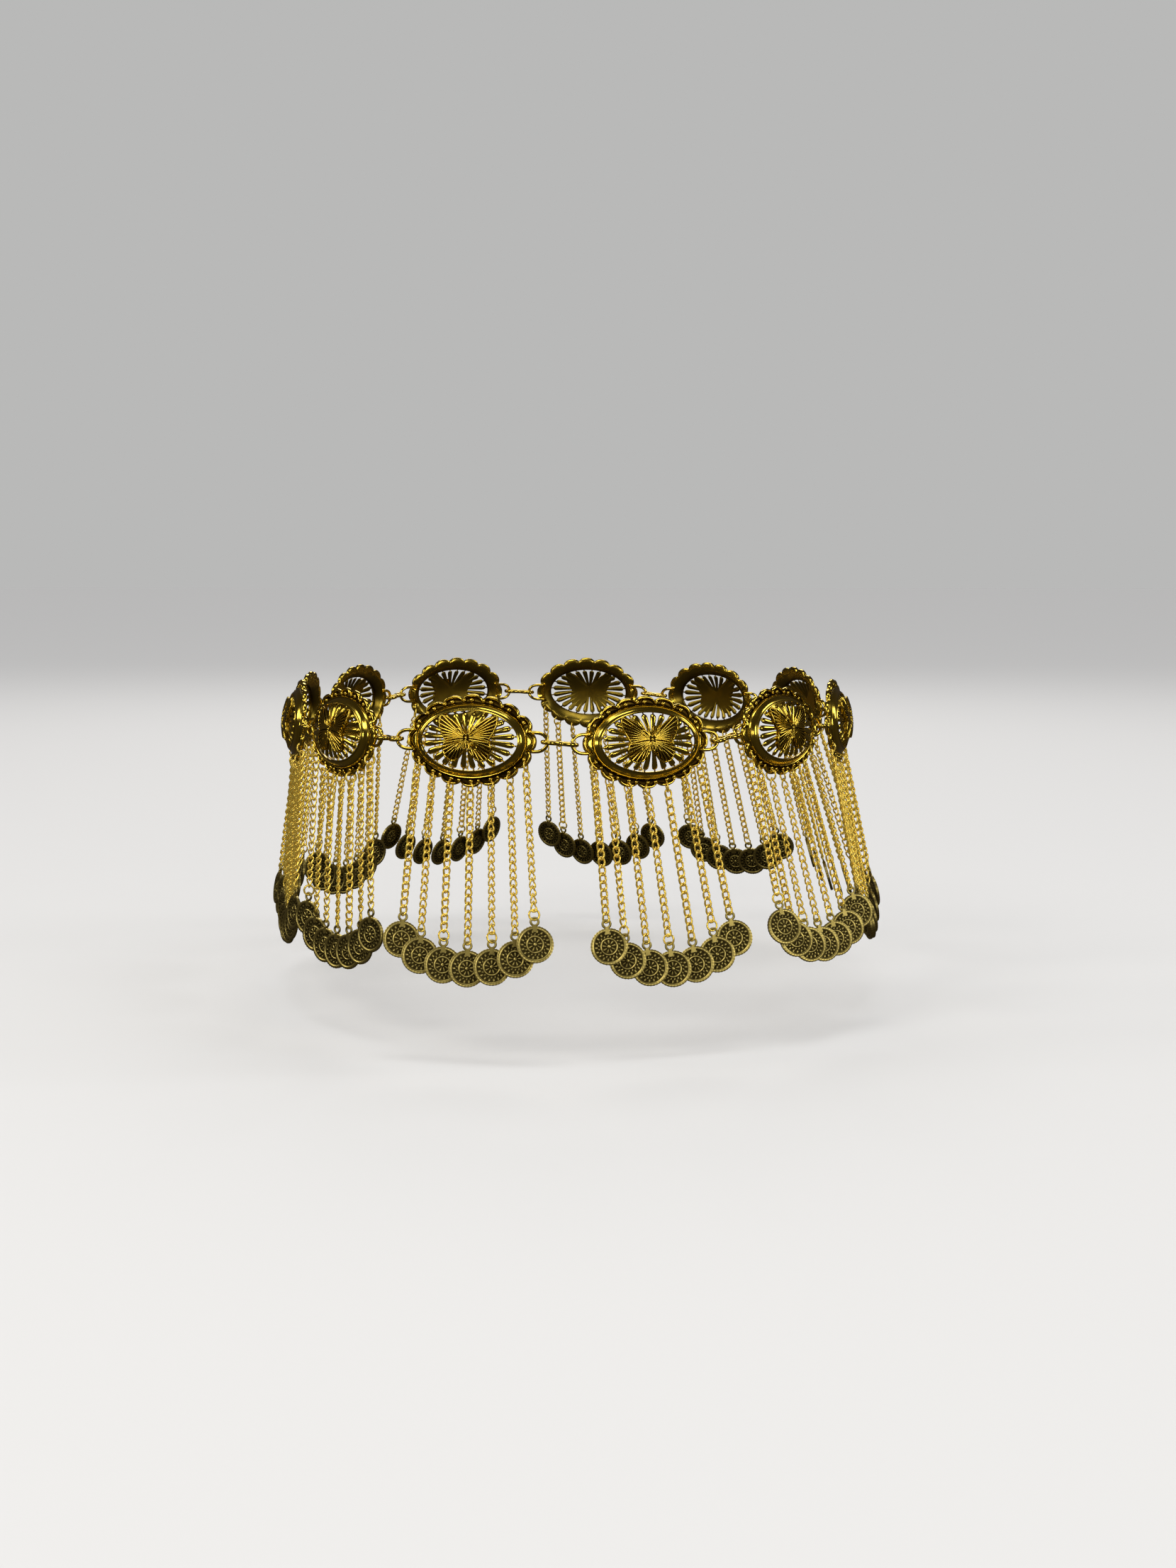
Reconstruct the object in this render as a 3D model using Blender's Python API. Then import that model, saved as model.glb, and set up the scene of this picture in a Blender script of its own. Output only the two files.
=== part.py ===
"""Coin waist chain: twelve domed oval plates linked in a ring round the waist, each with seven coin strands.

Axes: +Z up, the wearer's front towards -Y and left side towards +X. The origin is the middle of the ring,
at the height of the plates' centres. Each plate is drawn in its own frame: X along the ring, Z up, and
its face towards -Y.
"""

import math
from typing import NamedTuple

import bmesh
import bpy
from mathutils import Euler, Matrix, Vector

MM = 0.001

# Line that the plates' centres follow round the hips
RING_HALF_WIDTH = 123.4 * MM
RING_FRONT_DEPTH = 84.7 * MM
RING_BACK_DEPTH = 111.4 * MM
RING_POWER = 2.09
RING_STEPS = 1440

# Plates along the ring
PLATE_COUNT = 12
PLATE_PITCH = 56.15 * MM
CLASP_ARC = 191.5 * MM
PLATE_LEAN = math.radians(5.6)

# One plate
PLATE_HALF_LENGTH = 21.5 * MM
PLATE_HALF_HEIGHT = 14.9 * MM
EDGE_SEGMENTS = 48
OVAL_STEPS = 720
SCALLOP_SEGMENTS = 3
SCALLOP_DEPTH = 1.4 * MM
RIM_WIDTH = 3.1 * MM
BEZEL_WIDTH = 2.4 * MM
RIM_THICKNESS = 1.0 * MM
RIM_INNER_RISE = 1.9 * MM
DOME_FOOT = 2.7 * MM
DOME_HEIGHT = 5.9 * MM
SHELL_THICKNESS = 1.1 * MM
RAY_SHARE = 0.64

# Butterfly in the middle of the plate, as distances from its body to its outline
WING_NOTCH = 3.4 * MM
FOREWING_REACH = 11.4 * MM
FOREWING_ANGLE = math.radians(34.0)
HINDWING_REACH = 8.6 * MM
HINDWING_ANGLE = math.radians(-38.0)
WING_SPREAD = math.radians(27.0)

# Fixed loops at the ends of a plate, and the links between them
LOOP_REACH = 4.3 * MM
LOOP_HALF_HEIGHT = 3.6 * MM
WIRE = 1.1 * MM
SEAM = 0.3 * MM
LINK_PLAY = 0.5 * MM
LINK_SIDES = 8
LINK_HALF_WIDTH = 2.6 * MM

# Strands and coins; a strand is measured from the rim to the top of its coin
STRAND_COUNT = 7
STRAND_LENGTH = 52.0 * MM
NECK_LENGTH = 2.0 * MM
STRAND_WIDTH = 2.3 * MM
STRAND_THICKNESS = 1.0 * MM
COIN_RADIUS = 5.9 * MM
COIN_SIDES = 14
COIN_THICKNESS = 1.0 * MM
STRIP_WIDTH = 1.2 * MM
STRIP_THICKNESS = 0.8 * MM
STRIP_BELOW_RIM = 0.35 * MM

# Clasp
CLASP_LENGTH = 18.0 * MM
CLASP_WIRE = 1.3 * MM
CLASP_HOOK_HALF_LENGTH = 5.4 * MM
CLASP_HOOK_HALF_HEIGHT = 4.3 * MM
CLASP_EYE_HALF = 2.6 * MM
CLASP_SIDES = 10
LEVER_TIP_CLEARANCE = 1.0 * MM
LEVER_ROOT_CLEARANCE = 2.3 * MM


class Hang(NamedTuple):
    """How one plate's strands hang, in degrees, and its height above the ring's level, in millimetres."""

    flare: float
    sway: float
    fan: float
    turn: float
    lift: float


# One row a plate, from the clasp onwards: flare out from the body, sway along the ring, fan of the outer
# two strands, and the turn of the coins on their strands, which lets each coin pass its neighbours
HANGS = (
    Hang(flare=18.0, sway=-2.0, fan=3.0, turn=24.0, lift=0.3),
    Hang(flare=20.0, sway=1.0, fan=4.0, turn=-26.0, lift=-0.4),
    Hang(flare=17.0, sway=-3.0, fan=3.0, turn=25.0, lift=0.2),
    Hang(flare=20.0, sway=-2.0, fan=4.0, turn=-24.0, lift=0.5),
    Hang(flare=7.0, sway=0.0, fan=3.0, turn=20.0, lift=-0.2),
    Hang(flare=8.0, sway=2.0, fan=2.0, turn=-22.0, lift=0.0),
    Hang(flare=5.0, sway=0.0, fan=3.0, turn=-16.0, lift=0.2),
    Hang(flare=4.0, sway=1.0, fan=2.0, turn=-14.0, lift=0.7),
    Hang(flare=18.0, sway=4.0, fan=2.5, turn=-25.0, lift=0.8),
    Hang(flare=14.0, sway=4.0, fan=2.0, turn=20.0, lift=0.0),
    Hang(flare=20.0, sway=-2.0, fan=2.0, turn=30.0, lift=1.2),
    Hang(flare=13.0, sway=0.0, fan=2.0, turn=-22.0, lift=0.5),
)


class Finish(NamedTuple):
    """Colour, roughness and metallic value of one material."""

    color: tuple[float, float, float]
    roughness: float
    metallic: float


FINISHES = {
    "antique_gold": Finish(color=(0.72, 0.53, 0.20), roughness=0.28, metallic=1.0),
    "bright_gold": Finish(color=(0.90, 0.67, 0.25), roughness=0.22, metallic=1.0),
}


def clear_scene() -> None:
    """Remove every object that the file opened with."""
    for item in list(bpy.data.objects):
        bpy.data.objects.remove(item, do_unlink=True)


def material(name: str) -> bpy.types.Material:
    """Return the named metal, made once."""
    found = bpy.data.materials.get(name)
    if found is not None:
        return found
    finish = FINISHES[name]
    made = bpy.data.materials.new(name)
    made.use_nodes = True
    shader = made.node_tree.nodes["Principled BSDF"]
    shader.inputs["Base Color"].default_value = (*finish.color, 1.0)
    shader.inputs["Roughness"].default_value = finish.roughness
    shader.inputs["Metallic"].default_value = finish.metallic
    return made


def ring_points() -> tuple[list[Vector], list[float]]:
    """Return points round the hip line and the length of the line up to each."""
    points = []
    for step in range(RING_STEPS + 1):
        angle = 2.0 * math.pi * step / RING_STEPS
        across, along = math.cos(angle), math.sin(angle)
        depth = RING_FRONT_DEPTH if along < 0.0 else RING_BACK_DEPTH
        x = math.copysign(abs(across) ** (2.0 / RING_POWER), across) * RING_HALF_WIDTH
        y = math.copysign(abs(along) ** (2.0 / RING_POWER), along) * depth
        points.append(Vector((x, y, 0.0)))
    lengths = [0.0]
    for before, after in zip(points, points[1:]):
        lengths.append(lengths[-1] + (after - before).length)
    return points, lengths


RING, RING_LENGTHS = ring_points()


def on_ring(arc: float) -> Vector:
    """Return the point of the hip line at a length from the wearer's left side."""
    arc %= RING_LENGTHS[-1]
    high = next(index for index, length in enumerate(RING_LENGTHS) if length >= arc and index > 0)
    low = high - 1
    share = (arc - RING_LENGTHS[low]) / (RING_LENGTHS[high] - RING_LENGTHS[low])
    return RING[low].lerp(RING[high], share)


def plate_placement(index: int) -> Matrix:
    """Return the placement of a plate: tangent to the hip line, its top leaning to the body."""
    closing = RING_LENGTHS[-1] - (PLATE_COUNT - 1) * PLATE_PITCH
    arc = CLASP_ARC + closing / 2.0 + index * PLATE_PITCH
    along = on_ring(arc + PLATE_HALF_LENGTH) - on_ring(arc - PLATE_HALF_LENGTH)
    heading = math.atan2(along.y, along.x)
    place = on_ring(arc)
    place.z = HANGS[index].lift * MM
    return Matrix.Translation(place) @ Euler((-PLATE_LEAN, 0.0, heading)).to_matrix().to_4x4()


def oval_lengths() -> list[float]:
    """Return the length of the plate's oval edge up to each of its steps."""
    lengths = [0.0]
    for step in range(OVAL_STEPS):
        first = 2.0 * math.pi * step / OVAL_STEPS
        second = 2.0 * math.pi * (step + 1) / OVAL_STEPS
        across = PLATE_HALF_LENGTH * (math.cos(second) - math.cos(first))
        up = PLATE_HALF_HEIGHT * (math.sin(second) - math.sin(first))
        lengths.append(lengths[-1] + math.hypot(across, up))
    return lengths


OVAL_LENGTHS = oval_lengths()


def oval_angle(share: float) -> float:
    """Return the angle on the plate's oval at a share of the way round its edge."""
    target = (share % 1.0) * OVAL_LENGTHS[-1]
    step = next(index for index in range(OVAL_STEPS) if OVAL_LENGTHS[index + 1] >= target)
    part = (target - OVAL_LENGTHS[step]) / (OVAL_LENGTHS[step + 1] - OVAL_LENGTHS[step])
    return 2.0 * math.pi * (step + part) / OVAL_STEPS


def oval_point(angle: float, inset: float, depth: float) -> Vector:
    """Return a point on the plate's oval, drawn in by an inset, a depth in front of its back."""
    x = (PLATE_HALF_LENGTH - inset) * math.cos(angle)
    z = (PLATE_HALF_HEIGHT - inset) * math.sin(angle)
    return Vector((x, -depth, z))


def wing_reach(direction: float) -> float:
    """Return how far the butterfly's outline lies from its body in a direction."""
    side = math.atan2(math.sin(direction), abs(math.cos(direction)))
    fore = math.exp(-(((side - FOREWING_ANGLE) / WING_SPREAD) ** 2))
    hind = math.exp(-(((side - HINDWING_ANGLE) / WING_SPREAD) ** 2))
    return WING_NOTCH + (FOREWING_REACH - WING_NOTCH) * fore + (HINDWING_REACH - WING_NOTCH) * hind


def dome_depth(x: float, z: float) -> float:
    """Return how far the dome's front stands out at a place on the plate."""
    inset = RIM_WIDTH + BEZEL_WIDTH
    share = (x / (PLATE_HALF_LENGTH - inset)) ** 2 + (z / (PLATE_HALF_HEIGHT - inset)) ** 2
    return DOME_FOOT + (DOME_HEIGHT - DOME_FOOT) * (1.0 - min(share, 1.0))


def add_loop(bm: bmesh.types.BMesh, wall: list[bmesh.types.BMFace], side: float) -> None:
    """Draw a fixed loop out of the first and last wall faces of an end scallop."""
    outer = side * (PLATE_HALF_LENGTH + LOOP_REACH)
    inner = side * (PLATE_HALF_LENGTH + LOOP_REACH - WIRE)
    corners = []
    for face in (wall[0], wall[-1]):
        upper = math.copysign(1.0, face.calc_center_median().z)
        moved = bmesh.ops.extrude_discrete_faces(bm, faces=[face])["faces"][0]
        far = max(abs(vert.co.z) for vert in moved.verts)
        for vert in moved.verts:
            is_far = abs(vert.co.z) > far - 0.5 * MM
            height = LOOP_HALF_HEIGHT if is_far else LOOP_HALF_HEIGHT - WIRE
            vert.co.x = outer if is_far else inner
            vert.co.z = upper * height
        corners.append(moved)
    edges = [edge for face in corners for edge in face.edges]
    bmesh.ops.delete(bm, geom=corners, context="FACES_ONLY")
    bmesh.ops.bridge_loops(bm, edges=edges)


def plate_mesh() -> bpy.types.Mesh:
    """Return the plate: scalloped rim, oval bezel, rays with open gaps, butterfly and end loops."""
    bm = bmesh.new()
    count = EDGE_SEGMENTS
    rays = count // 2
    edge_front, edge_back, bezel, mouth_front, mouth_back = [], [], [], [], []
    for index in range(count):
        angle = oval_angle((index + 0.5) / count)
        cusp = SCALLOP_DEPTH if index % SCALLOP_SEGMENTS == 1 else 0.0
        edge_front.append(bm.verts.new(oval_point(angle, cusp, RIM_THICKNESS)))
        edge_back.append(bm.verts.new(oval_point(angle, cusp, 0.0)))
        bezel.append(bm.verts.new(oval_point(angle, RIM_WIDTH, RIM_INNER_RISE)))
        widen = (RAY_SHARE - 0.5) * (-1.0 if index % 2 == 0 else 1.0)
        angle = oval_angle((index + 0.5 + widen) / count)
        inset = RIM_WIDTH + BEZEL_WIDTH
        mouth_front.append(bm.verts.new(oval_point(angle, inset, DOME_FOOT)))
        mouth_back.append(bm.verts.new(oval_point(angle, inset, DOME_FOOT - SHELL_THICKNESS)))
    wing_front, wing_back = [], []
    for index in range(rays):
        angle = oval_angle(2.0 * index / count)
        direction = math.atan2(PLATE_HALF_HEIGHT * math.sin(angle), PLATE_HALF_LENGTH * math.cos(angle))
        reach = wing_reach(direction)
        x, z = reach * math.cos(direction), reach * math.sin(direction)
        depth = dome_depth(x, z)
        wing_front.append(bm.verts.new((x, -depth, z)))
        wing_back.append(bm.verts.new((x, -(depth - SHELL_THICKNESS), z)))
    body_front = bm.verts.new((0.0, -DOME_HEIGHT, 0.0))
    body_back = bm.verts.new((0.0, -(DOME_HEIGHT - SHELL_THICKNESS), 0.0))

    walls = []
    for index in range(count):
        after = (index + 1) % count
        bm.faces.new((edge_front[index], edge_front[after], bezel[after], bezel[index]))
        bm.faces.new((bezel[index], bezel[after], mouth_front[after], mouth_front[index]))
        bm.faces.new((edge_back[after], edge_back[index], mouth_back[index], mouth_back[after]))
        walls.append(bm.faces.new((edge_back[index], edge_back[after], edge_front[after], edge_front[index])))
    for ray in range(rays):
        first, second = 2 * ray, 2 * ray + 1
        after = (ray + 1) % rays
        bm.faces.new((mouth_front[first], mouth_front[second], wing_front[after], wing_front[ray]))
        bm.faces.new((mouth_back[second], mouth_back[first], wing_back[ray], wing_back[after]))
        bm.faces.new((wing_front[ray], wing_front[after], body_front))
        bm.faces.new((wing_back[after], wing_back[ray], body_back))
        before = (first - 1) % count
        bm.faces.new((mouth_front[first], mouth_front[before], mouth_back[before], mouth_back[first]))
        bm.faces.new((mouth_front[before], wing_front[ray], wing_back[ray], mouth_back[before]))
        bm.faces.new((wing_front[ray], mouth_front[first], mouth_back[first], wing_back[ray]))
    half = count // 2
    right_end = [walls[-2], walls[-1], walls[0]]
    left_end = [walls[half - 2], walls[half - 1], walls[half]]
    add_loop(bm, right_end, 1.0)
    add_loop(bm, left_end, -1.0)
    return finished_mesh(bm, "plate", "antique_gold")


def finished_mesh(bm: bmesh.types.BMesh, name: str, metal: str) -> bpy.types.Mesh:
    """Triangulate, turn the faces outwards and return the mesh with its metal."""
    bmesh.ops.triangulate(bm, faces=bm.faces)
    bmesh.ops.recalc_face_normals(bm, faces=bm.faces)
    mesh = bpy.data.meshes.new(name)
    bm.to_mesh(mesh)
    bm.free()
    mesh.materials.append(material(metal))
    return mesh


def strand_direction(hang: Hang, index: int, placement: Matrix) -> tuple[Vector, Vector]:
    """Return where a strand hangs and which way its coin faces, both in the plate's frame."""
    spread = (index - (STRAND_COUNT - 1) / 2.0) / ((STRAND_COUNT - 1) / 2.0)
    sway = math.radians(hang.sway + hang.fan * spread)
    flare = math.radians(hang.flare)
    turn = placement.to_3x3()
    along = turn @ Vector((1.0, 0.0, 0.0))
    along.z = 0.0
    along.normalize()
    out = Vector((along.y, -along.x, 0.0))
    down = Vector((0.0, 0.0, -1.0))
    hanging = out * math.sin(flare) + down * math.cos(flare)
    direction = (along * math.sin(sway) + hanging * math.cos(sway)).normalized()
    facing = (out - direction * out.dot(direction)).normalized()
    facing.rotate(Matrix.Rotation(math.radians(hang.turn), 3, direction))
    back = turn.inverted()
    return back @ direction, back @ facing


def strand_sections(root: Vector, direction: Vector, facing: Vector) -> list[list[Vector]]:
    """Return the four-cornered sections of a strand and of the coin on its end."""
    across = facing.cross(direction).normalized()
    centre = STRAND_LENGTH + COIN_RADIUS
    rows = [(STRAND_LENGTH - NECK_LENGTH, STRAND_WIDTH / 2.0, STRAND_THICKNESS / 2.0)]
    for step in range(COIN_SIDES // 2):
        angle = math.pi * (2 * step + 1) / COIN_SIDES
        reach = centre - COIN_RADIUS * math.cos(angle)
        rows.append((reach, COIN_RADIUS * math.sin(angle), COIN_THICKNESS / 2.0))
    sections = []
    for reach, half, thick in rows:
        middle = root + direction * reach
        corners = ((-half, thick), (half, thick), (half, -thick), (-half, -thick))
        sections.append([middle + across * side + facing * out for side, out in corners])
    return sections


def fringe_mesh(index: int, placement: Matrix) -> bpy.types.Mesh:
    """Return a plate's seven strands and coins, hung on a narrow strip behind its lower rim."""
    bm = bmesh.new()
    sections = []
    for strand in range(STRAND_COUNT):
        middle = 0.75 + (strand - (STRAND_COUNT - 1) / 2.0) * SCALLOP_SEGMENTS / EDGE_SEGMENTS
        half = STRAND_WIDTH / 2.0 / OVAL_LENGTHS[-1]
        for share in (middle - half, middle + half):
            angle = oval_angle(share)
            ring = []
            for depth in (-SEAM, -SEAM - STRIP_THICKNESS):
                ring.append(bm.verts.new(oval_point(angle, STRIP_WIDTH - STRIP_BELOW_RIM, depth)))
                ring.append(bm.verts.new(oval_point(angle, -STRIP_BELOW_RIM, depth)))
            sections.append(ring)
    first, last = sections[0], sections[-1]
    bm.faces.new((first[0], first[1], first[3], first[2]))
    bm.faces.new((last[0], last[2], last[3], last[1]))
    for place, (before, after) in enumerate(zip(sections, sections[1:])):
        bm.faces.new((before[0], after[0], after[1], before[1]))
        bm.faces.new((before[2], before[3], after[3], after[2]))
        bm.faces.new((before[0], before[2], after[2], after[0]))
        if place % 2 == 1:
            bm.faces.new((before[1], after[1], after[3], before[3]))
            continue
        ends = (before[1], after[1], after[3], before[3])
        root = sum((vert.co for vert in ends), Vector()) / 4.0
        direction, facing = strand_direction(HANGS[index], place // 2, placement)
        ring = list(ends)
        for corners in strand_sections(root, direction, facing):
            lower = [bm.verts.new(corner) for corner in corners]
            for side in range(4):
                other = (side + 1) % 4
                bm.faces.new((ring[side], ring[other], lower[other], lower[side]))
            ring = lower
        bm.faces.new(ring)
    return finished_mesh(bm, "fringe", "bright_gold")


def link_mesh(half_length: float) -> bpy.types.Mesh:
    """Return a flat oval wire link, its long way along X, lying in its XY plane."""
    bm = bmesh.new()
    flat = math.cos(math.pi / LINK_SIDES)
    radius = LINK_HALF_WIDTH - WIRE / 2.0
    straight = half_length - radius
    sections = []
    for step in range(LINK_SIDES):
        angle = 2.0 * math.pi * (step + 0.5) / LINK_SIDES
        ring = []
        for out, up in ((-1.0, -1.0), (1.0, -1.0), (1.0, 1.0), (-1.0, 1.0)):
            reach = (radius + out * WIRE / 2.0) / flat
            x = math.copysign(straight, math.cos(angle)) + reach * math.cos(angle)
            ring.append(bm.verts.new((x, reach * math.sin(angle), up * WIRE / 2.0)))
        sections.append(ring)
    join_sections(bm, sections, closed=True)
    return finished_mesh(bm, "link", "antique_gold")


def join_sections(bm: bmesh.types.BMesh, sections: list[list[bmesh.types.BMVert]], closed: bool) -> None:
    """Join four-cornered sections, one after another, round a ring or along a bar with flat ends."""
    following = sections[1:] + sections[:1] if closed else sections[1:]
    for before, after in zip(sections, following):
        for side in range(4):
            other = (side + 1) % 4
            bm.faces.new((before[side], before[other], after[other], after[side]))
    if not closed:
        bm.faces.new(sections[0])
        bm.faces.new(sections[-1])


def span_placement(start: Vector, end: Vector) -> Matrix:
    """Return a placement half way between two points, with X from one to the other and Y level."""
    along = (end - start).normalized()
    level = Vector((0.0, 0.0, 1.0)).cross(along).normalized()
    up = along.cross(level)
    turn = Matrix((along, level, up)).transposed()
    return Matrix.Translation((start + end) / 2.0) @ turn.to_4x4()


def loop_bar(placement: Matrix, side: float) -> Vector:
    """Return the middle of the outer bar of a plate's loop."""
    reach = PLATE_HALF_LENGTH + LOOP_REACH - WIRE / 2.0
    return placement @ Vector((side * reach, -RIM_THICKNESS / 2.0, 0.0))


def clasp_path(half_length: float, half_height: float, centre: float, first: int, last: int) -> list[Vector]:
    """Return points of an oval in the clasp's XZ plane, between two of its corners."""
    points = []
    for step in range(first, last + 1):
        angle = 2.0 * math.pi * step / CLASP_SIDES
        points.append(Vector((centre + half_length * math.cos(angle), 0.0, half_height * math.sin(angle))))
    return points


def flat_wire(bm: bmesh.types.BMesh, path: list[Vector], thick: float, closed: bool) -> None:
    """Sweep a square wire along a path in the XZ plane."""
    sections = []
    for index, point in enumerate(path):
        before = path[index - 1] if index > 0 or closed else point
        after = path[(index + 1) % len(path)] if index + 1 < len(path) or closed else point
        along = (after - before).normalized()
        side = Vector((along.z, 0.0, -along.x))
        ring = []
        for out, deep in ((-1.0, -1.0), (1.0, -1.0), (1.0, 1.0), (-1.0, 1.0)):
            place = point + side * (out * thick / 2.0) + Vector((0.0, deep * thick / 2.0, 0.0))
            ring.append(bm.verts.new(place))
        sections.append(ring)
    join_sections(bm, sections, closed)


def hook_centre() -> float:
    """Return where the middle of the hook's oval lies along the clasp."""
    return CLASP_LENGTH / 2.0 - CLASP_HOOK_HALF_LENGTH


def eye_centre() -> float:
    """Return where the middle of the clasp's eye lies along it."""
    return -CLASP_LENGTH / 2.0 + CLASP_EYE_HALF


def add_clasp(placement: Matrix, parent: bpy.types.Object) -> None:
    """Add the spring clasp: a hook with its eye, and the lever that shuts it."""
    hook = bmesh.new()
    path = clasp_path(CLASP_HOOK_HALF_LENGTH, CLASP_HOOK_HALF_HEIGHT, hook_centre(), 5, 12)
    flat_wire(hook, path, CLASP_WIRE, closed=False)
    body = add_object("clasp_hook", finished_mesh(hook, "clasp_hook", "bright_gold"), placement, parent)
    eye = bmesh.new()
    path = clasp_path(CLASP_EYE_HALF, CLASP_EYE_HALF, eye_centre(), 0, CLASP_SIDES - 1)
    flat_wire(eye, path, WIRE, closed=True)
    neck = bmesh.new()
    start = eye_centre() + CLASP_EYE_HALF
    end = hook_centre() - CLASP_HOOK_HALF_LENGTH
    flat_wire(neck, [Vector((start, 0.0, 0.0)), Vector((end, 0.0, 0.0))], CLASP_WIRE, closed=False)
    for name, shape in (("clasp_eye", eye), ("clasp_neck", neck)):
        cutter = add_object(name, finished_mesh(shape, name, "bright_gold"), placement, parent)
        cutter.hide_render = True
        cutter.display_type = "WIRE"
        union = body.modifiers.new(name, "BOOLEAN")
        union.operation = "UNION"
        union.object = cutter
    lever = bmesh.new()
    path = clasp_path(CLASP_HOOK_HALF_LENGTH, CLASP_HOOK_HALF_HEIGHT, hook_centre(), 2, 5)
    path[0] = path[0] + (path[1] - path[0]).normalized() * LEVER_TIP_CLEARANCE
    path[-1] = path[-1] + (path[-2] - path[-1]).normalized() * LEVER_ROOT_CLEARANCE
    flat_wire(lever, path, CLASP_WIRE, closed=False)
    add_object("clasp_lever", finished_mesh(lever, "clasp_lever", "bright_gold"), placement, parent)


def add_object(name: str, mesh: bpy.types.Mesh, placement: Matrix,
               parent: bpy.types.Object) -> bpy.types.Object:
    """Add a named object, placed in the chain's frame."""
    made = bpy.data.objects.new(name, mesh)
    bpy.context.scene.collection.objects.link(made)
    made.parent = parent
    made.location = placement.to_translation()
    made.rotation_euler = placement.to_euler()
    return made


def add_link(number: int, bars: list[tuple[Vector, float]], parent: bpy.types.Object) -> None:
    """Add the link that passes round two bars, each given by its middle and its thickness."""
    (start, start_thick), (end, end_thick) = bars
    along = (end - start).normalized()
    start = start - along * (start_thick / 2.0 + LINK_PLAY + WIRE / 2.0)
    end = end + along * (end_thick / 2.0 + LINK_PLAY + WIRE / 2.0)
    half_length = (end - start).length / 2.0
    add_object(f"link_{number:02d}", link_mesh(half_length), span_placement(start, end), parent)


def main() -> None:
    """Build the whole chain."""
    clear_scene()
    chain = bpy.data.objects.new("chain", None)
    bpy.context.scene.collection.objects.link(chain)
    placements = [plate_placement(index) for index in range(PLATE_COUNT)]
    plate = plate_mesh()
    for index, placement in enumerate(placements):
        add_object(f"plate_{index + 1:02d}", plate, placement, chain)
        add_object(f"fringe_{index + 1:02d}", fringe_mesh(index, placement), placement, chain)
    for index, (before, after) in enumerate(zip(placements, placements[1:])):
        add_link(index + 1, [(loop_bar(before, 1.0), WIRE), (loop_bar(after, -1.0), WIRE)], chain)
    start = loop_bar(placements[-1], 1.0)
    end = loop_bar(placements[0], -1.0)
    clasp = span_placement(start, end)
    add_clasp(clasp, chain)
    eye_bar = clasp @ Vector((-CLASP_LENGTH / 2.0, 0.0, 0.0))
    hook_bar = clasp @ Vector((CLASP_LENGTH / 2.0, 0.0, 0.0))
    add_link(PLATE_COUNT, [(start, WIRE), (eye_bar, WIRE)], chain)
    add_link(PLATE_COUNT + 1, [(hook_bar, CLASP_WIRE), (end, WIRE)], chain)


main()
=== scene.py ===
"""Looks of the coin waist chain: cast plates with butterflies, wire links, curb chains, coins and a clasp.

All sizes are in metres, in the chain's own frame: +Z up, the wearer's front towards -Y and the left side
towards +X. A plate, a coin and a link are each modelled once in their own frame, X along the ring or across
the strand, Z up and the face towards -Y, and then copied to their places.
"""

import logging
import math
import random
from collections.abc import Callable, Iterator, Sequence
from contextlib import contextmanager
from dataclasses import dataclass, field
from enum import Enum
from functools import cached_property

import bmesh
import bpy
import numpy as np
from mathutils import Euler, Matrix, Vector


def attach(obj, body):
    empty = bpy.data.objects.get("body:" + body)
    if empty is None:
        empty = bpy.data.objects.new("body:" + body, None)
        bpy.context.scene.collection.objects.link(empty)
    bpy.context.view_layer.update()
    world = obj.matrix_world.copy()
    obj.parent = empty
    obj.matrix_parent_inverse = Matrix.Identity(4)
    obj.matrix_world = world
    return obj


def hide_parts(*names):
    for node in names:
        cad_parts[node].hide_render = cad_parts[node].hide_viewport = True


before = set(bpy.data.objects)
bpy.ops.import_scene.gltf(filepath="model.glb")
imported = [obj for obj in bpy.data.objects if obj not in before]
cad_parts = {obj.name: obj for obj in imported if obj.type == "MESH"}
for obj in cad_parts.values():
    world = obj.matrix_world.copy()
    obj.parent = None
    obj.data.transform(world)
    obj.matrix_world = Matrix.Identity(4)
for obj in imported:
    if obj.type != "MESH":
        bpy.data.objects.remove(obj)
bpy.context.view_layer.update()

MM = 0.001
FULL_TURN = 2.0 * math.pi
MERGE = 0.003 * MM
SMOOTH_ANGLE = math.radians(66.0)
BODY = "root"
SEED = 12
LOG = logging.getLogger("waist_chain")
UP = Vector((0.0, 0.0, 1.0))
FRONT = Vector((0.0, -1.0, 0.0))

Item = bpy.types.Object
Color = tuple[float, float, float]


class Metal(Enum):
    """The metals of the chain."""

    PLATE = "plate_gold"
    CHAIN = "chain_gold"
    COIN = "coin_gold"


class End(Enum):
    """The two ends of a plate, by their side along X."""

    LEFT = -1.0
    RIGHT = 1.0


class CoinHanger(Enum):
    """What holds a coin's eye at the end of its chain."""

    RING = "a jump ring of its own"
    LINK = "the chain's last link"


def feed(node: bpy.types.Node, inputs: dict[str | int, object]) -> None:
    """Give each input of a node its value, or another node's output.

    Args:
        node: the node.
        inputs: what its inputs take, by their names or numbers.
    """
    for name, value in inputs.items():
        if isinstance(value, bpy.types.NodeSocket):
            node.id_data.links.new(value, node.inputs[name])
        else:
            node.inputs[name].default_value = value


def add_node(tree: bpy.types.NodeTree, kind: str, inputs: dict[str | int, object] | None = None,
             **options: object) -> bpy.types.Node:
    """Add a node to a material or to the surroundings.

    Args:
        tree: the nodes that it joins.
        kind: the node's type.
        inputs: what its inputs take, by their names or numbers.
        **options: the node's own options, which are set before its inputs.

    Returns:
        The node.
    """
    node = tree.nodes.new(kind)
    for name, value in options.items():
        setattr(node, name, value)
    feed(node, inputs or {})
    return node


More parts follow.
